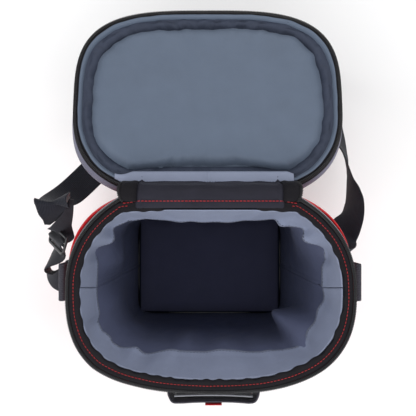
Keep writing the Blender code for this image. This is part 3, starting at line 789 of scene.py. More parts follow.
# ---------------------------------------------------------------- collar and liner
# Folds of the hanging collar: polar angle, half width in degrees, how far the hem moves in.
HEM_FOLDS = [
    (144, 9, 0.0040), (157, 7, 0.0085), (165, 6, -0.0050), (203, 8, -0.0070), (214, 8, -0.0075),
    (228, 7, -0.0040), (240, 7, 0.0016), (262, 18, -0.0022), (300, 12, -0.0020), (319, 9, -0.0035),
    (326, 8, -0.0030), (334, 8, 0.0035), (344, 7, 0.0030), (352, 6, -0.0025), (14, 7, -0.0065),
    (24, 7, 0.0105), (36, 9, 0.0105), (118, 10, 0.0014), (72, 12, 0.0012),
]
COLLAR_TOP = 0.2764
LINER_Z = (0.0106, 0.2715)
SEAM_DRIFT = 3.2                     # degrees that the side seams wander from the rim to the hem

# Bulges of the loose liner: polar angle, height, half width in degrees, half height, how far in.
LINER_BULGES = [
    (331, 0.165, 13, 0.080, 0.0300), (168, 0.165, 15, 0.080, 0.0110), (196, 0.160, 15, 0.085, 0.0075),
    (22, 0.155, 20, 0.090, 0.0080), (250, 0.160, 14, 0.070, 0.0060), (285, 0.185, 18, 0.060, 0.0050),
    (212, 0.120, 14, 0.080, 0.0040), (140, 0.150, 12, 0.090, 0.0040), (60, 0.130, 14, 0.090, 0.0040),
]


def collar_inset(angle, drop):
    """Inset of the collar's face; drop is 0 at the tape and 1 at the hem."""
    angle = np.asarray(angle, float)
    sine = np.sin(np.radians(angle))
    hem = 0.0164 + 0.0065 * sine * sine
    for centre, width, depth in HEM_FOLDS:
        hem = hem + depth * bump_round(angle, centre, width)
    tuck = 0.0009 * wander_round(angle, 26, 6.0) * (1 + corner_share(angle))
    crease = 0.0026 * wander_round(angle, 30, 11.0) * (0.5 + corner_share(angle))
    crinkle = (crease + 0.0009 * wander_round(angle, 62, 1.0)) * np.sin(math.pi * np.clip(drop, 0, 1))
    face = mix(0.0134 + rim_pull(angle), hem + tuck, drop ** 1.15) + crinkle
    return np.maximum(face, mix(0.0100, 0.0124, drop))


def collar_place(angle, drop):
    """Polar angle, height and inset of the collar's face, whose side seams drift."""
    height = mix(COLLAR_TOP, HEM_Z, drop) + 0.0025 * wander_round(angle, 14, 5.0) * drop
    angle = angle - SEAM_DRIFT * np.cos(np.radians(angle)) * drop
    return angle, height, collar_inset(angle, drop)


def make_collar():
    drops = np.linspace(0.0, 1.0, 18)
    seam_gap = 0.16
    for half, span in (("back", (0.0, 180.0)), ("front", (180.0, 360.0))):
        angles = span_angles((span[0] + seam_gap, span[1] - seam_gap), 0.8)
        turn, drop = np.meshgrid(angles, drops, indexing="ij")
        turn, height, inset = collar_place(turn, drop)
        outer = body_point(turn, height, inset)
        hem_band = smooth(0.84, 0.88, drop) * 0.0007
        inner = body_point(turn, height, inset + 0.0010 + hem_band)[:, ::-1]
        # The collar takes the lighter lining copy, whose extra lightness is painted light.
        collar = sweep(f"collar_{half}_cloth", np.concatenate([outer, inner], 1), LINING_PAINTED_LIGHT)
        place_piece(collar, "bag_body", "grey_lining", f"collar_{half}")
        turn, height, inset = collar_place(angles, 0.93)
        path = body_point(turn, height, inset + 0.0018)
        row = stitch_row(f"collar_{half}_stitching", path, GREY_THREAD, radius=0.00030)
        place_piece(row, "bag_body", "grey_lining")


def behind_collar(height):
    """How much further out the liner lies behind the collar."""
    return 0.0024 * smooth(0.17, 0.21, height)


def liner_inset(angle, height):
    inset = 0.0118 - behind_collar(height)
    for centre, level, width, reach, depth in LINER_BULGES:
        inset = inset + depth * bump_round(angle, centre, width) * bump(height, level, reach)
    soft = smooth(0.014, 0.05, height) * smooth(0.262, 0.22, height)
    places = body_point(angle, height, 0.0118)
    creases = 0.0022 * wander(places * (1, 1, 0.55), 24.0, 2.0) + 0.0009 * wander(places, 70.0, 5.0)
    drift = SEAM_DRIFT * smooth(0.0, 0.22, height)
    seam = 0.0016 * (bump_round(angle + drift, 0.0, 1.6) + bump_round(angle - drift, 180.0, 1.6))
    return inset + soft * (0.0010 + np.abs(creases)) + seam


def liner_point(angle, height, inset):
    """The liner's foot is squarer than the bag, because the floor board pushes it out."""
    return body_point(angle, height, inset, 6.0 * smooth(0.14, 0.0, height))


def make_liner():
    levels = np.linspace(*LINER_Z, 46)
    for half, span in (("back", (0.0, 180.0)), ("front", (180.0, 360.0))):
        angles = span_angles((span[0] + 0.12, span[1] - 0.12), 1.5)
        turn, height = np.meshgrid(angles, levels, indexing="ij")
        turn = turn - SEAM_DRIFT * np.cos(np.radians(turn)) * smooth(0.0, 0.22, height)
        inset = liner_inset(turn, height)
        outer = liner_point(turn, height, 0.0114 - behind_collar(height))[:, ::9]
        inner = liner_point(turn, height, inset + 0.0010)[:, ::-1]
        liner = sweep(f"liner_{half}_cloth", np.concatenate([outer, inner], 1), LINER)
        foams = ("back_foam", "left_foam") if half == "back" else ("front_foam", "right_foam")
        place_piece(liner, "bag_body", "grey_lining", f"liner_{half}", *foams)


def rounded_plate(name, half_x, y_span, z_span, corner, material, crown=0.0006):
    """A thin board wrapped in cloth: square outline, small corner radius, rolled edges."""
    centre_y = (y_span[0] + y_span[1]) / 2
    outline = rounded_corners(half_x, (y_span[1] - y_span[0]) / 2, corner)
    thick = z_span[1] - z_span[0]
    steps = [(0.985, 0.0), (1.0, 0.25), (1.0, 0.7), (0.99, 1.0), (0.80, 1.0), (0.45, 1.0), (0.05, 1.0)]
    rings = []
    for scale, level in steps:
        ring = []
        for x, y in outline:
            z = z_span[0] + thick * level
            if level == 1.0:
                sag = 0.0005 * noise.noise(Vector((x * 22, y * 22, scale)))
                z = z + crown * (1 - scale) + sag
            ring.append((x * scale, centre_y + y * scale, z))
        rings.append(ring)
    return ring_stack(name, rings, material)


def make_floor_board():
    # The cloth under the board takes the darker lining copy: painted shade in the gap round the board.
    ground = rounded_plate("liner_bottom", 0.1042, (-0.0690, 0.0700), (0.0103, 0.0112), 0.0060,
                           LINING_PAINTED_SHADE, crown=0.0)
    place_piece(ground, "bag_body", "grey_lining", "liner_floor")
    board = rounded_plate("floor_board_cover", 0.1015, (-0.0668, 0.0690), (0.0114, 0.0152), 0.0020,
                          FLOOR_CLOTH)
    place_piece(board, "bag_body", "grey_lining")


# ---------------------------------------------------------------- hinge
# The bodies that the hinge cloth joins, and where the turn begins and ends.
HINGE_BLEND = (("bag_body", "lid"), (0.0, 0.1030, 0.2768), (0.0, 0.1120, 0.2560))
# Middle lines across the hinge, as (y, z).
HINGE_SPINE = [(0.0858, 0.2779), (0.0900, 0.2786), (0.0940, 0.2787), (0.0985, 0.2784), (0.1035, 0.2768),
               (0.1072, 0.2730), (0.1098, 0.2672), (0.1112, 0.2610), (0.1120, 0.2556), (0.1150, 0.2527),
               (0.1190, 0.2519)]

ZIP_END_SPINE = [(0.0925, 0.2800), (0.0960, 0.2808), (0.1004, 0.2806), (0.1056, 0.2784), (0.1098, 0.2722),
                 (0.1122, 0.2636), (0.1130, 0.2560)]


def catmull(points, steps):
    """Catmull-Rom samples through points, an array of (count, values)."""
    points = np.asarray(points, float)
    padded = np.concatenate([[2 * points[0] - points[1]], points, [2 * points[-1] - points[-2]]])
    rows = []
    for k in range(len(points) - 1):
        a, b, c, d = padded[k:k + 4]
        for i in range(steps):
            t = i / steps
            rows.append(0.5 * (2 * b + (c - a) * t + (2 * a - 5 * b + 4 * c - d) * t * t
                               + (3 * b - a - 3 * c + d) * t ** 3))
    rows.append(points[-1])
    return np.array(rows)


def spine_normals(spine):
    """Unit directions square to a spine of (y, z) points."""
    ahead = unit(np.gradient(spine, axis=0))
    return np.stack([-ahead[:, 1], ahead[:, 0]], -1)


def make_hinge():
    spine = catmull(HINGE_SPINE, 5)
    normal = spine_normals(spine)
    across = np.linspace(-HINGE_HALF_X, HINGE_HALF_X, 90)
    share = np.linspace(0.0, 1.0, len(spine))
    sections = []
    for x in across:
        flat = spread(x, *spine.T)
        wave = 0.0011 * wander(flat * (0.25, 1, 1), 130.0, 3.0) + 0.0005 * wander(flat, 60.0, 7.0)
        wave = wave * np.sin(math.pi * share) ** 0.5
        edge = 0.0012 * bump(abs(x), HINGE_HALF_X - 0.0035, 0.003)
        top = spine + normal * (wave + 0.0006 + edge)[:, None]
        low = (spine + normal * (wave - 0.0006)[:, None])[::-1]
        sections.append(spread(x, *np.concatenate([top, low]).T))
    cloth = sweep("hinge_cloth", sections, HINGE_CLOTH)
    blend_piece(cloth, *HINGE_BLEND, "black_fabric", "hinge_panel")
    x = np.linspace(-HINGE_HALF_X - 0.013, HINGE_HALF_X + 0.013, 80)
    y = 0.0930 - 0.0022 * smooth(HINGE_HALF_X - 0.004, HINGE_HALF_X + 0.013, np.abs(x))
    row = stitch_row("hinge_stitching", spread(x, y, 0.27985), RED_THREAD, length=0.0030, gap=0.0006,
                     radius=0.00042)
    place_piece(row, "bag_body", "red_fabric")
    make_zip_ends()


def make_zip_ends():
    """The zip's two folded tape ends, which bow outwards beside the hinge cloth."""
    spine = catmull(ZIP_END_SPINE, 5)
    share = np.linspace(0.0, 1.0, len(spine))
    normal = spine_normals(spine)
    inner = HINGE_HALF_X - 0.0008
    for side, sign in (("left", -1), ("right", 1)):
        bow = inner + 0.0125 + 0.0045 * np.sin(math.pi * share) ** 0.8
        rows = []
        for k in range(len(spine)):
            corners = []
            for across, lift in ((0.0, 0.0008), (0.3, 0.0016), (0.7, 0.0015), (0.94, 0.0011), (1.0, 0.0),
                                 (0.94, -0.0010), (0.5, -0.0011), (0.0, -0.0009)):
                ripple = 0.0004 * math.sin(40 * across + 9 * share[k])
                place = spine[k] + normal[k] * (lift + ripple * (lift > 0))
                corners.append((sign * mix(inner, bow[k], across), place[0], place[1]))
            rows.append(corners)
        fold = sweep(f"zip_fold_{side}", rows, TAPE)
        blend_piece(fold, *HINGE_BLEND, "black_fabric", f"zip_end_{side}")
        inwards = np.array((-sign, 0.0, 0.0))
        coil = zip_coil(f"zip_fold_coil_{side}", spread(sign * (bow + 0.0010), *spine.T),
                        lambda places: inwards + 0 * places, COIL, wide=0.0015, high=0.0012)
        blend_piece(coil, *HINGE_BLEND, "black_plastic")


# ---------------------------------------------------------------- lid
def pad_scallop(angle):
    """How far the lid pad's puffed edge wanders in and out."""
    rough = 0.35 + 0.65 * np.maximum(corner_share(angle), np.abs(np.cos(np.radians(angle))) ** 3)
    slow = 0.0034 * wander_round(angle, 17, 3.0)
    quick = 0.0024 * wander_round(angle, 64, 7.0)
    return rough * (slow + quick)


def pad_edge_inset(angle):
    """The near edge stays further in, which leaves a dark groove before the hem strip."""
    return 0.0160 + 0.0040 * back_share(angle)


def lid_ring(outline, scale, height):
    """A ring of the closed lid: its outline drawn in towards its centre, at a height."""
    return flat_ring(LID_CENTRE + (outline - LID_CENTRE) * scale, height)


def make_lid_pad():
    angles = np.arange(0.0, 360.0, 1.0)
    scales = 1 - np.concatenate([np.linspace(0.0, 0.16, 17), np.linspace(0.19, 0.96, 22)])
    edge = closed_lid_point(angles, 0.0, pad_edge_inset(angles))[:, :2]
    reach = np.linalg.norm(edge - LID_CENTRE, axis=1)
    rings = [lid_ring(edge, scale, 0.2893) for scale in (0.96, 1.0)]
    for scale in scales:
        depth = (1 - scale) * reach
        soft = np.maximum(depth - 0.0022 - pad_scallop(angles), 0.0)
        height = 0.2768 + 0.0115 * np.exp(-(soft / 0.0050) ** 1.3) + 0.0012 * np.exp(-soft / 0.030)
        near = np.exp(-depth / 0.016)
        gather = 0.0024 * wander_round(angles, 58, 2.0) * (0.4 + corner_share(angles))
        places = lid_ring(edge, scale, 0.0)
        billow = 0.0010 * wander(places, 20.0, 4.0) + 0.00045 * wander(places, 55.0, 6.0)
        height = height + near * gather * np.exp(-(depth / 0.03) ** 2) + billow * (1 - near)
        rings.append(lid_ring(edge, scale, height))
    pad = ring_stack("lid_pad", open_lid(rings), LINING)
    place_piece(pad, "lid", "grey_lining", "lid_liner")


def make_lid_trim():
    zip_angles = span_angles(ZIP_SPAN, 0.5)
    coil_z = 0.2821
    middle = open_lid((*LID_CENTRE, coil_z))
    coil = zip_coil("lid_zip_coil", lid_point(zip_angles, coil_z, COIL_INSET),
                    lambda places: middle - places, COIL)
    place_piece(coil, "lid", "black_plastic", "zipper_coil_lid")
    tape = [(0.2813, 0.0038), (0.2811, 0.0056), (0.2816, 0.0070), (0.2829, 0.0070), (0.2829, 0.0038)]
    place_piece(ring_sweep("lid_zip_tape", lid_point, tape, TAPE, ZIP_SPAN), "lid", "black_fabric",
                "zipper_tape_lid")

    def roll_inset(base):
        return lambda a: base + 0.0005 * wander_round(a, 50, 8.0) * (1 + corner_share(a))

    def roll_height(base):
        return lambda a: base + 0.0004 * wander_round(a, 70, 3.0)

    border = [(0.2832, 0.0044), (roll_height(0.2820), 0.0045), (roll_height(0.2808), roll_inset(0.0052)),
              (roll_height(0.2806), roll_inset(0.0062)), (roll_height(0.2812), roll_inset(0.0074)),
              (roll_height(0.2830), roll_inset(0.0084)), (0.2860, 0.0092), (0.2872, 0.0084), (0.2872, 0.0048)]
    place_piece(ring_sweep("lid_border_roll", lid_point, border, LINING, (136.0, 404.0), 0.75),
                "lid", "grey_lining", "lid_border")

    def crumple(base, amount, seed):
        return lambda a: base + amount * (wander_round(a, 60, seed) + 0.6 * wander_round(a, 130, seed + 2))

    # The gathered groove takes the darker lining copy: painted shade in the groove.
    gather = [(0.2846, 0.0080), (crumple(0.2850, 0.0014, 1.0), 0.0096),
              (crumple(0.2858, 0.0022, 2.0), crumple(0.0114, 0.0012, 5.0)),
              (crumple(0.2846, 0.0030, 3.0), crumple(0.0134, 0.0014, 6.0)),
              (crumple(0.2862, 0.0024, 4.0), crumple(0.0156, 0.0012, 7.0)),
              (0.2880, 0.0215), (0.2892, 0.0215), (0.2892, 0.0080)]
    place_piece(ring_sweep("lid_gather", lid_point, gather, LINING_PAINTED_SHADE, None, 0.5), "lid", "grey_lining")
    make_lid_hem()


HEM_EDGE_Y = LID_CENTRE[1] + LID_FLAT_BACK


def hem_turn_in(x):
    """How far the hem strip bends in at its two ends."""
    return 0.0075 * smooth(0.084, 0.104, np.abs(x))


def make_lid_hem():
    """The strip along the lid's hinge edge, lighter than the lining by painted light, in two lengths that
    meet in the middle.
    """
    pieces = []
    for first, last in ((-0.1000, -0.0028), (-0.0034, 0.0880)):
        rows = []
        for x in np.linspace(first, last, 60):
            lift = 0.0006 * noise.noise(Vector((x * 70, 1.0, 2.0))) + 0.0005 * bump(abs(x), 0.0034, 0.004)
            corners = [(0.0003, 0.2832), (-0.0003, 0.2812), (0.0010, 0.2803 - lift), (0.0035, 0.2800 - lift),
                       (0.0070, 0.2797 - lift), (0.0110, 0.2798 - lift), (0.0140, 0.2806 - lift),
                       (0.0150, 0.2822), (0.0146, 0.2836)]
            taper = 1 - 0.6 * smooth(0.080, 0.100, abs(x))
            rows.append([(x, HEM_EDGE_Y - y * taper - hem_turn_in(x), z) for y, z in corners])
        # The hem strip takes the lighter lining copy: painted light.
        pieces.append(sweep("hem", open_lid(rows), LINING_PAINTED_LIGHT))
    place_piece(joined("lid_hem_cloth", pieces), "lid", "grey_lining", "lid_hem_strip")
    rows = []
    x = np.linspace(-0.0860, 0.0840, 90)
    for offset in (0.0020, 0.0032):
        path = open_lid(spread(x, HEM_EDGE_Y - offset - hem_turn_in(x), 0.2797))
        rows.append(stitch_row("hem_row", path, GREY_THREAD, length=0.0016, gap=0.0011, radius=0.00032))
    place_piece(joined("lid_hem_stitching", rows), "lid", "grey_lining")


def make_lid_shell():
    def sag(base, share):
        """Slack cloth at the hinge corners, most of it at the left."""
        def inset(angle):
            slack = 0.0042 * bump_round(angle, 150.0, 40.0) + 0.0022 * bump_round(angle, 30.0, 40.0)
            return base + 0.0006 * wander_round(angle, 16, 4.0 + share) - share * slack
        return inset

    levels = [0.2841, 0.2862, 0.2890, 0.2925, 0.2960, 0.2995, 0.3020, 0.3034]
    outer = []
    for k, z in enumerate(levels):
        share = math.sin(math.pi * k / 7.0)
        outer.append((z, sag(0.0006 - 0.0022 * share, share)))
    inner = [(z, 0.0019) for z in levels[::-3]]
    band = ring_sweep("lid_gusset", lid_point, outer + inner, GUSSET)
    place_piece(band, "lid", "light_trim", "lid_side_band")

    rolls = []
    for z, radius in ((0.2846, 0.0011), (0.3037, 0.0016)):
        cord = cord_profile(z, 0.0001, radius, radius)
        rolls.append(ring_sweep("edge_roll", lid_point, cord, BLACK, step=1.5))
    place_piece(joined("lid_edge_piping", rolls), "lid", "black_fabric")

    steps = [(0.3038, 1.0), (0.3048, 1.0), (0.3060, 0.992), (0.3070, 0.975), (0.3066, 0.950), (0.3076, 0.920),
             (0.3084, 0.80), (0.3090, 0.6), (0.3094, 0.4), (0.3096, 0.2), (0.3096, 0.04)]
    edge = closed_lid_point(np.arange(0.0, 360.0, 1.5), 0.0, 0.0006)[:, :2]
    rings = [lid_ring(edge, 0.04, 0.3036)]
    for height, scale in steps:
        ring = lid_ring(edge, scale, height)
        ring[:, 2] += 0.0006 * wander(ring, 26.0, 2.0) * (scale < 0.93)
        rings.append(ring)
    top = ring_stack("lid_top_cloth", open_lid(rings), BLACK)
    place_piece(top, "lid", "black_fabric", "lid_top_panel")
    path = open_lid(lid_ring(np.concatenate([edge, edge[:1]]), 0.950, 0.3069))
    place_piece(stitch_row("lid_top_stitching", path, RED_THREAD, up=(0, 0, -1)), "lid", "red_fabric")


# ---------------------------------------------------------------- webbing
def route_samples(stations, steps):
    """Smooth centres, side directions and half widths through (centre, side[, half width])."""
    places = catmull([station[0] for station in stations], steps)
    widths = [station[2] if len(station) > 2 else WEBBING_HALF for station in stations]
    sides = np.array([Vector(station[1]).normalized() for station in stations])
    sides = unit(catmull(sides, steps))
    widths = np.interp(np.linspace(0, len(stations) - 1, len(places)), range(len(stations)), widths)
    return places, sides, widths


def ribbon(name, stations, thick, material, steps=8, cup=0.0004):
    """Flat webbing with rolled edges and a slightly cupped face."""
    places, sides, widths = route_samples(stations, steps)
    ahead = unit(np.gradient(places, axis=0))
    sides = unit(sides - ahead * (sides * ahead).sum(1, keepdims=True))
    faces = np.cross(ahead, sides)
    half = thick / 2
    profile = [(-1, 0.0), (-0.97, 0.8), (-0.90, 1.0), (-0.6, 0.92), (-0.3, 0.98), (0, 0.94), (0.3, 0.98),
               (0.6, 0.92), (0.90, 1.0), (0.97, 0.8), (1, 0.0), (0.97, -0.8), (0.90, -1.0), (0.45, -0.94),
               (0, -0.96), (-0.45, -0.94), (-0.90, -1.0), (-0.97, -0.8)]
    curl = 0.6 + 0.4 * wander(places, 30.0, 5.0)
    columns = []
    for u, v in profile:
        bend = cup * (u * u - 0.4) * curl
        columns.append(places + sides * (widths * u)[:, None] + faces * (half * v + bend)[:, None])
    return sweep(name, np.stack(columns, 1), material)


LEVEL = (0.0, 1.0, 0.0)


def right_ring_wrap():
    bar = RING_BAR[1]
    low = bar.z - RING_REACH
    offsets = [(0.0006, -0.0260), (-0.0028, -0.0140), (-WEBBING_BEND, 0.0), (0.0, WEBBING_BEND),
               (WEBBING_BEND, 0.0), (0.0050, -0.0140)]
    return [((bar.x + x, RING_Y, low + z), LEVEL) for x, z in offsets]


STRAP_ROUTE = [
    ((0.1570, 0.0160, 0.1880), (-0.15, 0.97, 0.15)),
    ((0.1600, 0.0320, 0.1640), (0.75, 0.40, 0.45)),
    ((0.1625, 0.0500, 0.1500), (0.96, -0.20, 0.15)),
    ((0.1742, 0.0724, 0.1480), (0.62, -0.20, 0.76)),
    ((0.1782, 0.0848, 0.1440), (0.44, -0.05, 0.90)),
    ((0.1800, 0.0967, 0.1350), (0.26, 0.00, 0.96)),
    ((0.1807, 0.1144, 0.1200), (0.00, 0.00, 1.00)),
    ((0.1805, 0.1497, 0.1000), (-0.31, 0.00, 0.95)),
    ((0.1776, 0.1667, 0.0900), (-0.46, 0.00, 0.89)),
    ((0.1710, 0.1958, 0.0720), (-0.80, 0.05, 0.60)),
    ((0.1600, 0.2380, 0.0450), (-0.95, -0.22, 0.18)),
    ((0.1250, 0.2760, 0.0180), (-0.62, -0.78, 0.02)),
    ((0.0650, 0.2900, 0.0060), (-0.18, -0.98, 0.00)),
    ((0.0000, 0.2820, 0.0040), (0.10, -0.99, 0.00)),
    ((-0.0600, 0.2520, 0.0100), (0.35, -0.94, 0.00)),
    ((-0.1080, 0.2040, 0.0420), (0.62, -0.78, 0.00)),
    ((-0.1340, 0.1610, 0.0780), (0.75, -0.66, 0.00)),
    ((-0.1587, 0.1304, 0.0980), (0.76, -0.64, 0.05)),
    ((-0.1800, 0.1060, 0.1160), (0.80, -0.58, 0.10)),
    ((-0.1880, 0.0950, 0.1500), (0.93, -0.34, 0.15)),
    ((-0.1790, 0.0930, 0.2000), (0.97, 0.12, 0.10)),
    ((-0.1640, 0.0930, 0.2520), (0.89, 0.44, 0.00)),
    ((-0.1602, 0.0930, 0.2670), (0.883, 0.468, 0.00)),
    ((-0.1604, 0.0916, 0.2708), (0.883, 0.468, 0.00)),
]

# Where two layers of the strap lie in the folded stack: their left and right edges.
FOLD_FACE = [
    ((-0.1758, 0.0808, 0.2690), (-0.1470, 0.0962, 0.2700)),
    ((-0.1750, 0.0757, 0.2640), (-0.1520, 0.0884, 0.2655)),
    ((-0.1740, 0.0714, 0.2575), (-0.1582, 0.0798, 0.2590)),
    ((-0.1738, 0.0675, 0.2510), (-0.1686, 0.0702, 0.2520)),
]
LOOP_FACE = [
    ((-0.1440, 0.0963, 0.2660), (-0.1410, 0.0936, 0.2625)),
    ((-0.1527, 0.0809, 0.2600), (-0.1423, 0.0797, 0.2570)),
    ((-0.1625, 0.0696, 0.2535), (-0.1449, 0.0692, 0.2510)),
    ((-0.1713, 0.0638, 0.2480), (-0.1443, 0.0580, 0.2440)),
]


def between(left, right):
    """A ribbon station that spans two edge points."""
    span = Vector(right) - Vector(left)
    centre = (Vector(right) + Vector(left)) / 2
    return (tuple(centre), tuple(span), span.length / 2)


GLIDE_CENTRE = Vector((-0.1618, 0.0520, 0.2440))
GLIDE_LONG = Vector((0.555, -0.314, 0.770)).normalized()
GLIDE_ALONG = Vector((-0.316, -0.936, -0.155))
GLIDE_ALONG = (GLIDE_ALONG - GLIDE_LONG * GLIDE_ALONG.dot(GLIDE_LONG)).normalized()
GLIDE_NORMAL = GLIDE_LONG.cross(GLIDE_ALONG)


def glide_point(long, along, lift):
    return GLIDE_CENTRE + GLIDE_LONG * long + GLIDE_ALONG * along + GLIDE_NORMAL * lift


def adjust_loop_route():
    bar = RING_BAR[-1]
    low = bar.z - RING_REACH
    offsets = [(-WEBBING_BEND, 0.0025), (0.0, WEBBING_BEND), (WEBBING_BEND, 0.0), (0.0034, -0.0140)]
    weave = [(glide_point(0, along, lift), GLIDE_LONG) for along, lift in
             ((-0.0048, 0.0010), (0.0, -0.0034), (0.0048, 0.0), (0.0105, 0.0036))]
    return [
        *[between(left, right) for left, right in LOOP_FACE],
        *weave,
        ((-0.1745, 0.0290, 0.2330), (0.20, -0.05, 0.98)),
        ((-0.1740, 0.0190, 0.2290), (-0.05, 0.45, 0.89)),
        ((-0.1660, 0.0125, 0.2255), (-0.05, 0.85, 0.50)),
        *[((bar.x + x, RING_Y, low + z), LEVEL) for x, z in offsets],
    ]


def make_strap():
    fold = [between(left, right) for left, right in FOLD_FACE]
    strap = ribbon("shoulder_strap", right_ring_wrap() + STRAP_ROUTE + fold, WEBBING_THICK, STRAP)
    blend_piece(strap, ("bag_body", "ring_right"), (0.1600, 0.02, 0.1750), (0.1750, 0.02, 0.1900),
                "webbing", "strap_webbing")
    # The adjuster loop takes the lighter webbing copy: painted light, a satin highlight.
    loop = ribbon("strap_adjuster_loop", adjust_loop_route(), WEBBING_THICK, STRAP_PAINTED_LIGHT)
    blend_piece(loop, ("bag_body", "ring_left"), (-0.17, 0.050, 0.23), (-0.17, 0.020, 0.23),
                "webbing", "strap_adjust_loop")
    make_tri_glide()


def make_tri_glide():
    """Three-bar adjuster: a rounded frame and its middle bar."""
    half_long = 0.0205
    path = [glide_point(x, y, 0.0) for x, y in rounded_corners(half_long, 0.0088, 0.0040)]
    rim = tube("glide", path, 0.0017, PLASTIC, sides=12, closed=True, up=GLIDE_NORMAL, flatten=0.85)
    path = [glide_point(x, 0.0, 0.0) for x in np.linspace(-half_long, half_long, 12)]
    bar = tube("bar", path, 0.0015, PLASTIC, sides=12, up=GLIDE_NORMAL)
    place_piece(joined("tri_glide_frame", [rim, bar]), "bag_body", "black_plastic", "tri_glide")


def make_rings_and_tabs():
    top = 0.0030
    low = 0.0045
    bottom = low - RING_REACH
    # Corner radius, its centre's y and z from the bar's, and the angle where it starts.
    corners = ((top, RING_HALF_Y - top, -top, 0), (top, top - RING_HALF_Y, -top, 90),
               (low, low - RING_HALF_Y, bottom, 180), (low, RING_HALF_Y - low, bottom, 270))
    lean = math.atan((RIM_HALF_X - BASE_HALF[0]) / RIM_Z)
    for side, sign in (("left", -1), ("right", 1)):
        bar = RING_BAR[sign]
        path = []
        for corner, y, z, start in corners:
            for k in range(7):
                turn = math.radians(start + 15 * k)
                path.append((bar.x, bar.y + y + corner * math.cos(turn), bar.z + z + corner * math.sin(turn)))
        ring = tube(f"ring_wire_{side}", path, 0.00175, PLASTIC, sides=14, closed=True, up=(1.0, 0.0, 0.0))
        place_piece(ring, f"ring_{side}", "black_plastic", f"{side}_strap_ring")

        up = Vector((sign * math.sin(lean), 0.0, math.cos(lean)))
        out = Vector((sign * math.cos(lean), 0.0, -math.sin(lean)))
        straight = 0.0120
        centre = bar + up * straight
        stations = []
        for half, first in ((1, 0.0), (-1, math.pi)):
            for k in range(7):
                turn = first + math.pi * k / 6
                spoke = out * math.cos(turn) + up * math.sin(turn)
                stations.append(centre + up * (half * straight) + spoke * 0.0029)
        columns = []
        for v, u in ((0.0, -1.0), (0.8, -0.975), (1.0, -0.92), (0.95, -0.4), (1.0, 0.2), (1.0, 0.92),
                     (0.8, 0.975), (0.0, 1.0), (-0.8, 0.975), (-1.0, 0.9), (-1.0, -0.9), (-0.8, -0.975)):
            column = []
            for k, place in enumerate(stations):
                middle = centre + up * (straight if k < 7 else -straight)
                away = (place - middle).normalized()
                column.append(place + away * 0.0007 * v + Vector((0.0, u * WEBBING_HALF, 0.0)))
            columns.append(column)
        tab = sweep(f"{side}_tab_webbing", np.stack(columns, 1), HANDLE_WEB, True)
        place_piece(tab, "bag_body", "webbing", f"{side}_side_tab")
        rows = []
        for height in (0.004, -0.003):
            path = [tuple(centre + up * height + out * 0.00375 + Vector((0.0, y, 0.0)))
                    for y in np.linspace(-0.016, 0.016, 12)]
            rows.append(stitch_row("tab_row", path, DARK_THREAD, up=tuple(out)))
        place_piece(joined(f"{side}_tab_stitching", rows), "bag_body", "webbing")


# ---------------------------------------------------------------- front handle
def make_handle():
    pivot_y = -0.1000
    pivot_z = 0.268
    first, last = -0.0438, 0.0510
    height = 0.026
    middle = (first + last) / 2
    half = (last - first) / 2 - 0.0010
    reach = -0.0132
    mid_z = pivot_z - height / 2
    upright = (0.0, 0.0, 1.0)
    outer = [(-half, -0.0012), (-half + 0.0010, 0.50 * reach), (-half + 0.0045, 0.92 * reach),
             (-half + 0.0115, 0.99 * reach), (-0.45 * half, 0.93 * reach), (-0.1 * half, 0.90 * reach),
             (0.3 * half, 0.90 * reach), (0.60 * half, 0.95 * reach), (half - 0.0100, 1.0 * reach),
             (half - 0.0040, 0.90 * reach), (half - 0.0008, 0.50 * reach), (half, -0.0012)]
    stations = [((middle + x, pivot_y + y, mid_z), upright, height / 2) for x, y in outer]
    grip = ribbon("handle_grip", stations, 0.0022, HANDLE_WEB, steps=6)
    place_piece(grip, "front_handle", "webbing", "front_handle_webbing")
    inner = [(-half + 0.0062, 0.62 * reach), (-0.3 * half, 0.55 * reach), (0.3 * half, 0.56 * reach),
             (half - 0.0062, 0.66 * reach)]
    stations = [((middle + x, pivot_y + y, mid_z), (0, 0.12, 1), height / 2 - 0.0018) for x, y in inner]
    lining = ribbon("handle_lining", stations, 0.0018, TRIM, steps=8)
    place_piece(lining, "front_handle", "light_trim", "front_handle_backing")
    tag_y = pivot_y + 0.90 * reach - 0.0013
    low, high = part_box("front_handle_tag")
    stations = [((x, tag_y - 0.0022, mid_z), upright, height / 2 - 0.0004)
                for x in np.linspace(low.x, high.x, 5)]
    tag = ribbon("handle_tag", stations, 0.0010, RED, steps=3)
    place_piece(tag, "front_handle", "red_fabric", "front_handle_tag")
    for side in ("left", "right"):
        low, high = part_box(f"front_handle_anchor_{side}")
        x = (low.x + high.x) / 2
        y = (low.y + high.y) / 2
        half_wide = (high.x - low.x) / 2
        stations = [((x, y, z), (1.0, 0.0, 0.0), half_wide) for z in np.linspace(low.z, high.z, 6)]
        patch = ribbon(f"handle_anchor_{side}", stations, high.y - low.y, HANDLE_WEB, steps=4)
        place_piece(patch, "bag_body", "webbing", f"front_handle_anchor_{side}")


# ---------------------------------------------------------------- zip sliders
SLIDER_X = 0.0820
PULL_PIVOT = (0.1031, 0.2585)        # y, z


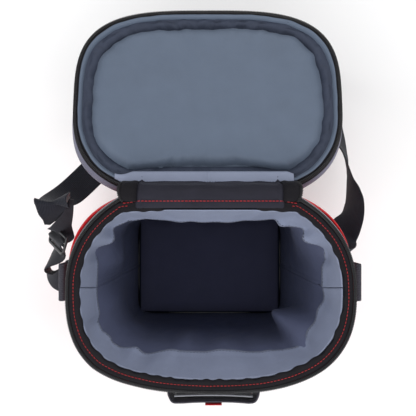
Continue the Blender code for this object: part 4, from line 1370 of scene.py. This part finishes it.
def make_sliders():
    for side, sign in (("left", -1), ("right", 1)):
        x = sign * SLIDER_X
        low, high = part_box(f"zipper_slider_{side}")
        mid_z = (low.z + high.z) / 2
        outline = [(0.0026, 0.0), (0.0040, 0.0016), (0.0042, 0.0040), (0.0030, 0.0050), (0.0012, 0.0046)]
        shape = outline + [(-u, v) for u, v in outline[::-1]]
        shape = shape + [(-0.0030, -0.0040), (-0.0020, -0.0050), (0.0020, -0.0050), (0.0030, -0.0040)]
        sections = []
        for y, scale in ((0.0986, 0.90), (0.0990, 1.0), (0.1008, 1.0), (0.1012, 0.90)):
            sections.append([(x + u * scale, y, mid_z + v * scale) for u, v in shape])
        body = sweep("slider", sections, ZINC)
        arch = [(x, 0.1010, mid_z + 0.0036), (x, 0.1024, mid_z + 0.0030), (x, 0.1034, mid_z + 0.0012),
                (x, 0.1034, mid_z - 0.0012), (x, 0.1026, mid_z - 0.0032), (x, 0.1010, mid_z - 0.0038)]
        bridge = tube("bridge", catmull(arch, 4), 0.0007, ZINC, sides=10, up=(1.0, 0.0, 0.0))
        place_piece(joined(f"slider_{side}", [body, bridge]), "bag_body", "zinc", f"zipper_slider_{side}")
        pivot = Vector((x, *PULL_PIVOT))
        loop = []
        for turn in np.linspace(0, 2 * math.pi, 28, endpoint=False):
            wide = 0.0032 - 0.0008 * math.cos(turn)
            loop.append((pivot.x + wide * math.sin(turn), pivot.y + 0.0001,
                         pivot.z - 0.0060 + 0.0080 * math.cos(turn)))
        link = tube("link", loop, 0.0006, ZINC, sides=10, closed=True, up=(0.0, 1.0, 0.0))
        stations = [((pivot.x, pivot.y, pivot.z + z), (1.0, 0.0, 0.0), wide) for z, wide in
                    ((-0.0120, 0.0022), (-0.0130, 0.0034), (-0.0165, 0.0036), (-0.0210, 0.0036),
                     (-0.0240, 0.0034), (-0.0250, 0.0022))]
        grip = ribbon("grip", stations, 0.0020, PLASTIC, steps=4, cup=0.0)
        pull = joined(f"zip_pull_{side}", [grip, link])
        place_piece(pull, f"pull_{side}", "black_plastic", f"pull_tab_{side}")


def dress_hidden_nodes():
    """Foam and boards keep their shapes and get their own finish."""
    for node, finish in (("base_board", BOARD), ("base_foam", FOAM), ("lid_foam", FOAM)):
        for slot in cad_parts[node].material_slots:
            slot.material = finish


def main():
    make_stage()
    make_panels()
    make_base()
    make_rim()
    make_collar()
    make_liner()
    make_floor_board()
    make_hinge()
    make_lid_pad()
    make_lid_trim()
    make_lid_shell()
    make_strap()
    make_rings_and_tabs()
    make_handle()
    make_sliders()
    dress_hidden_nodes()


main()
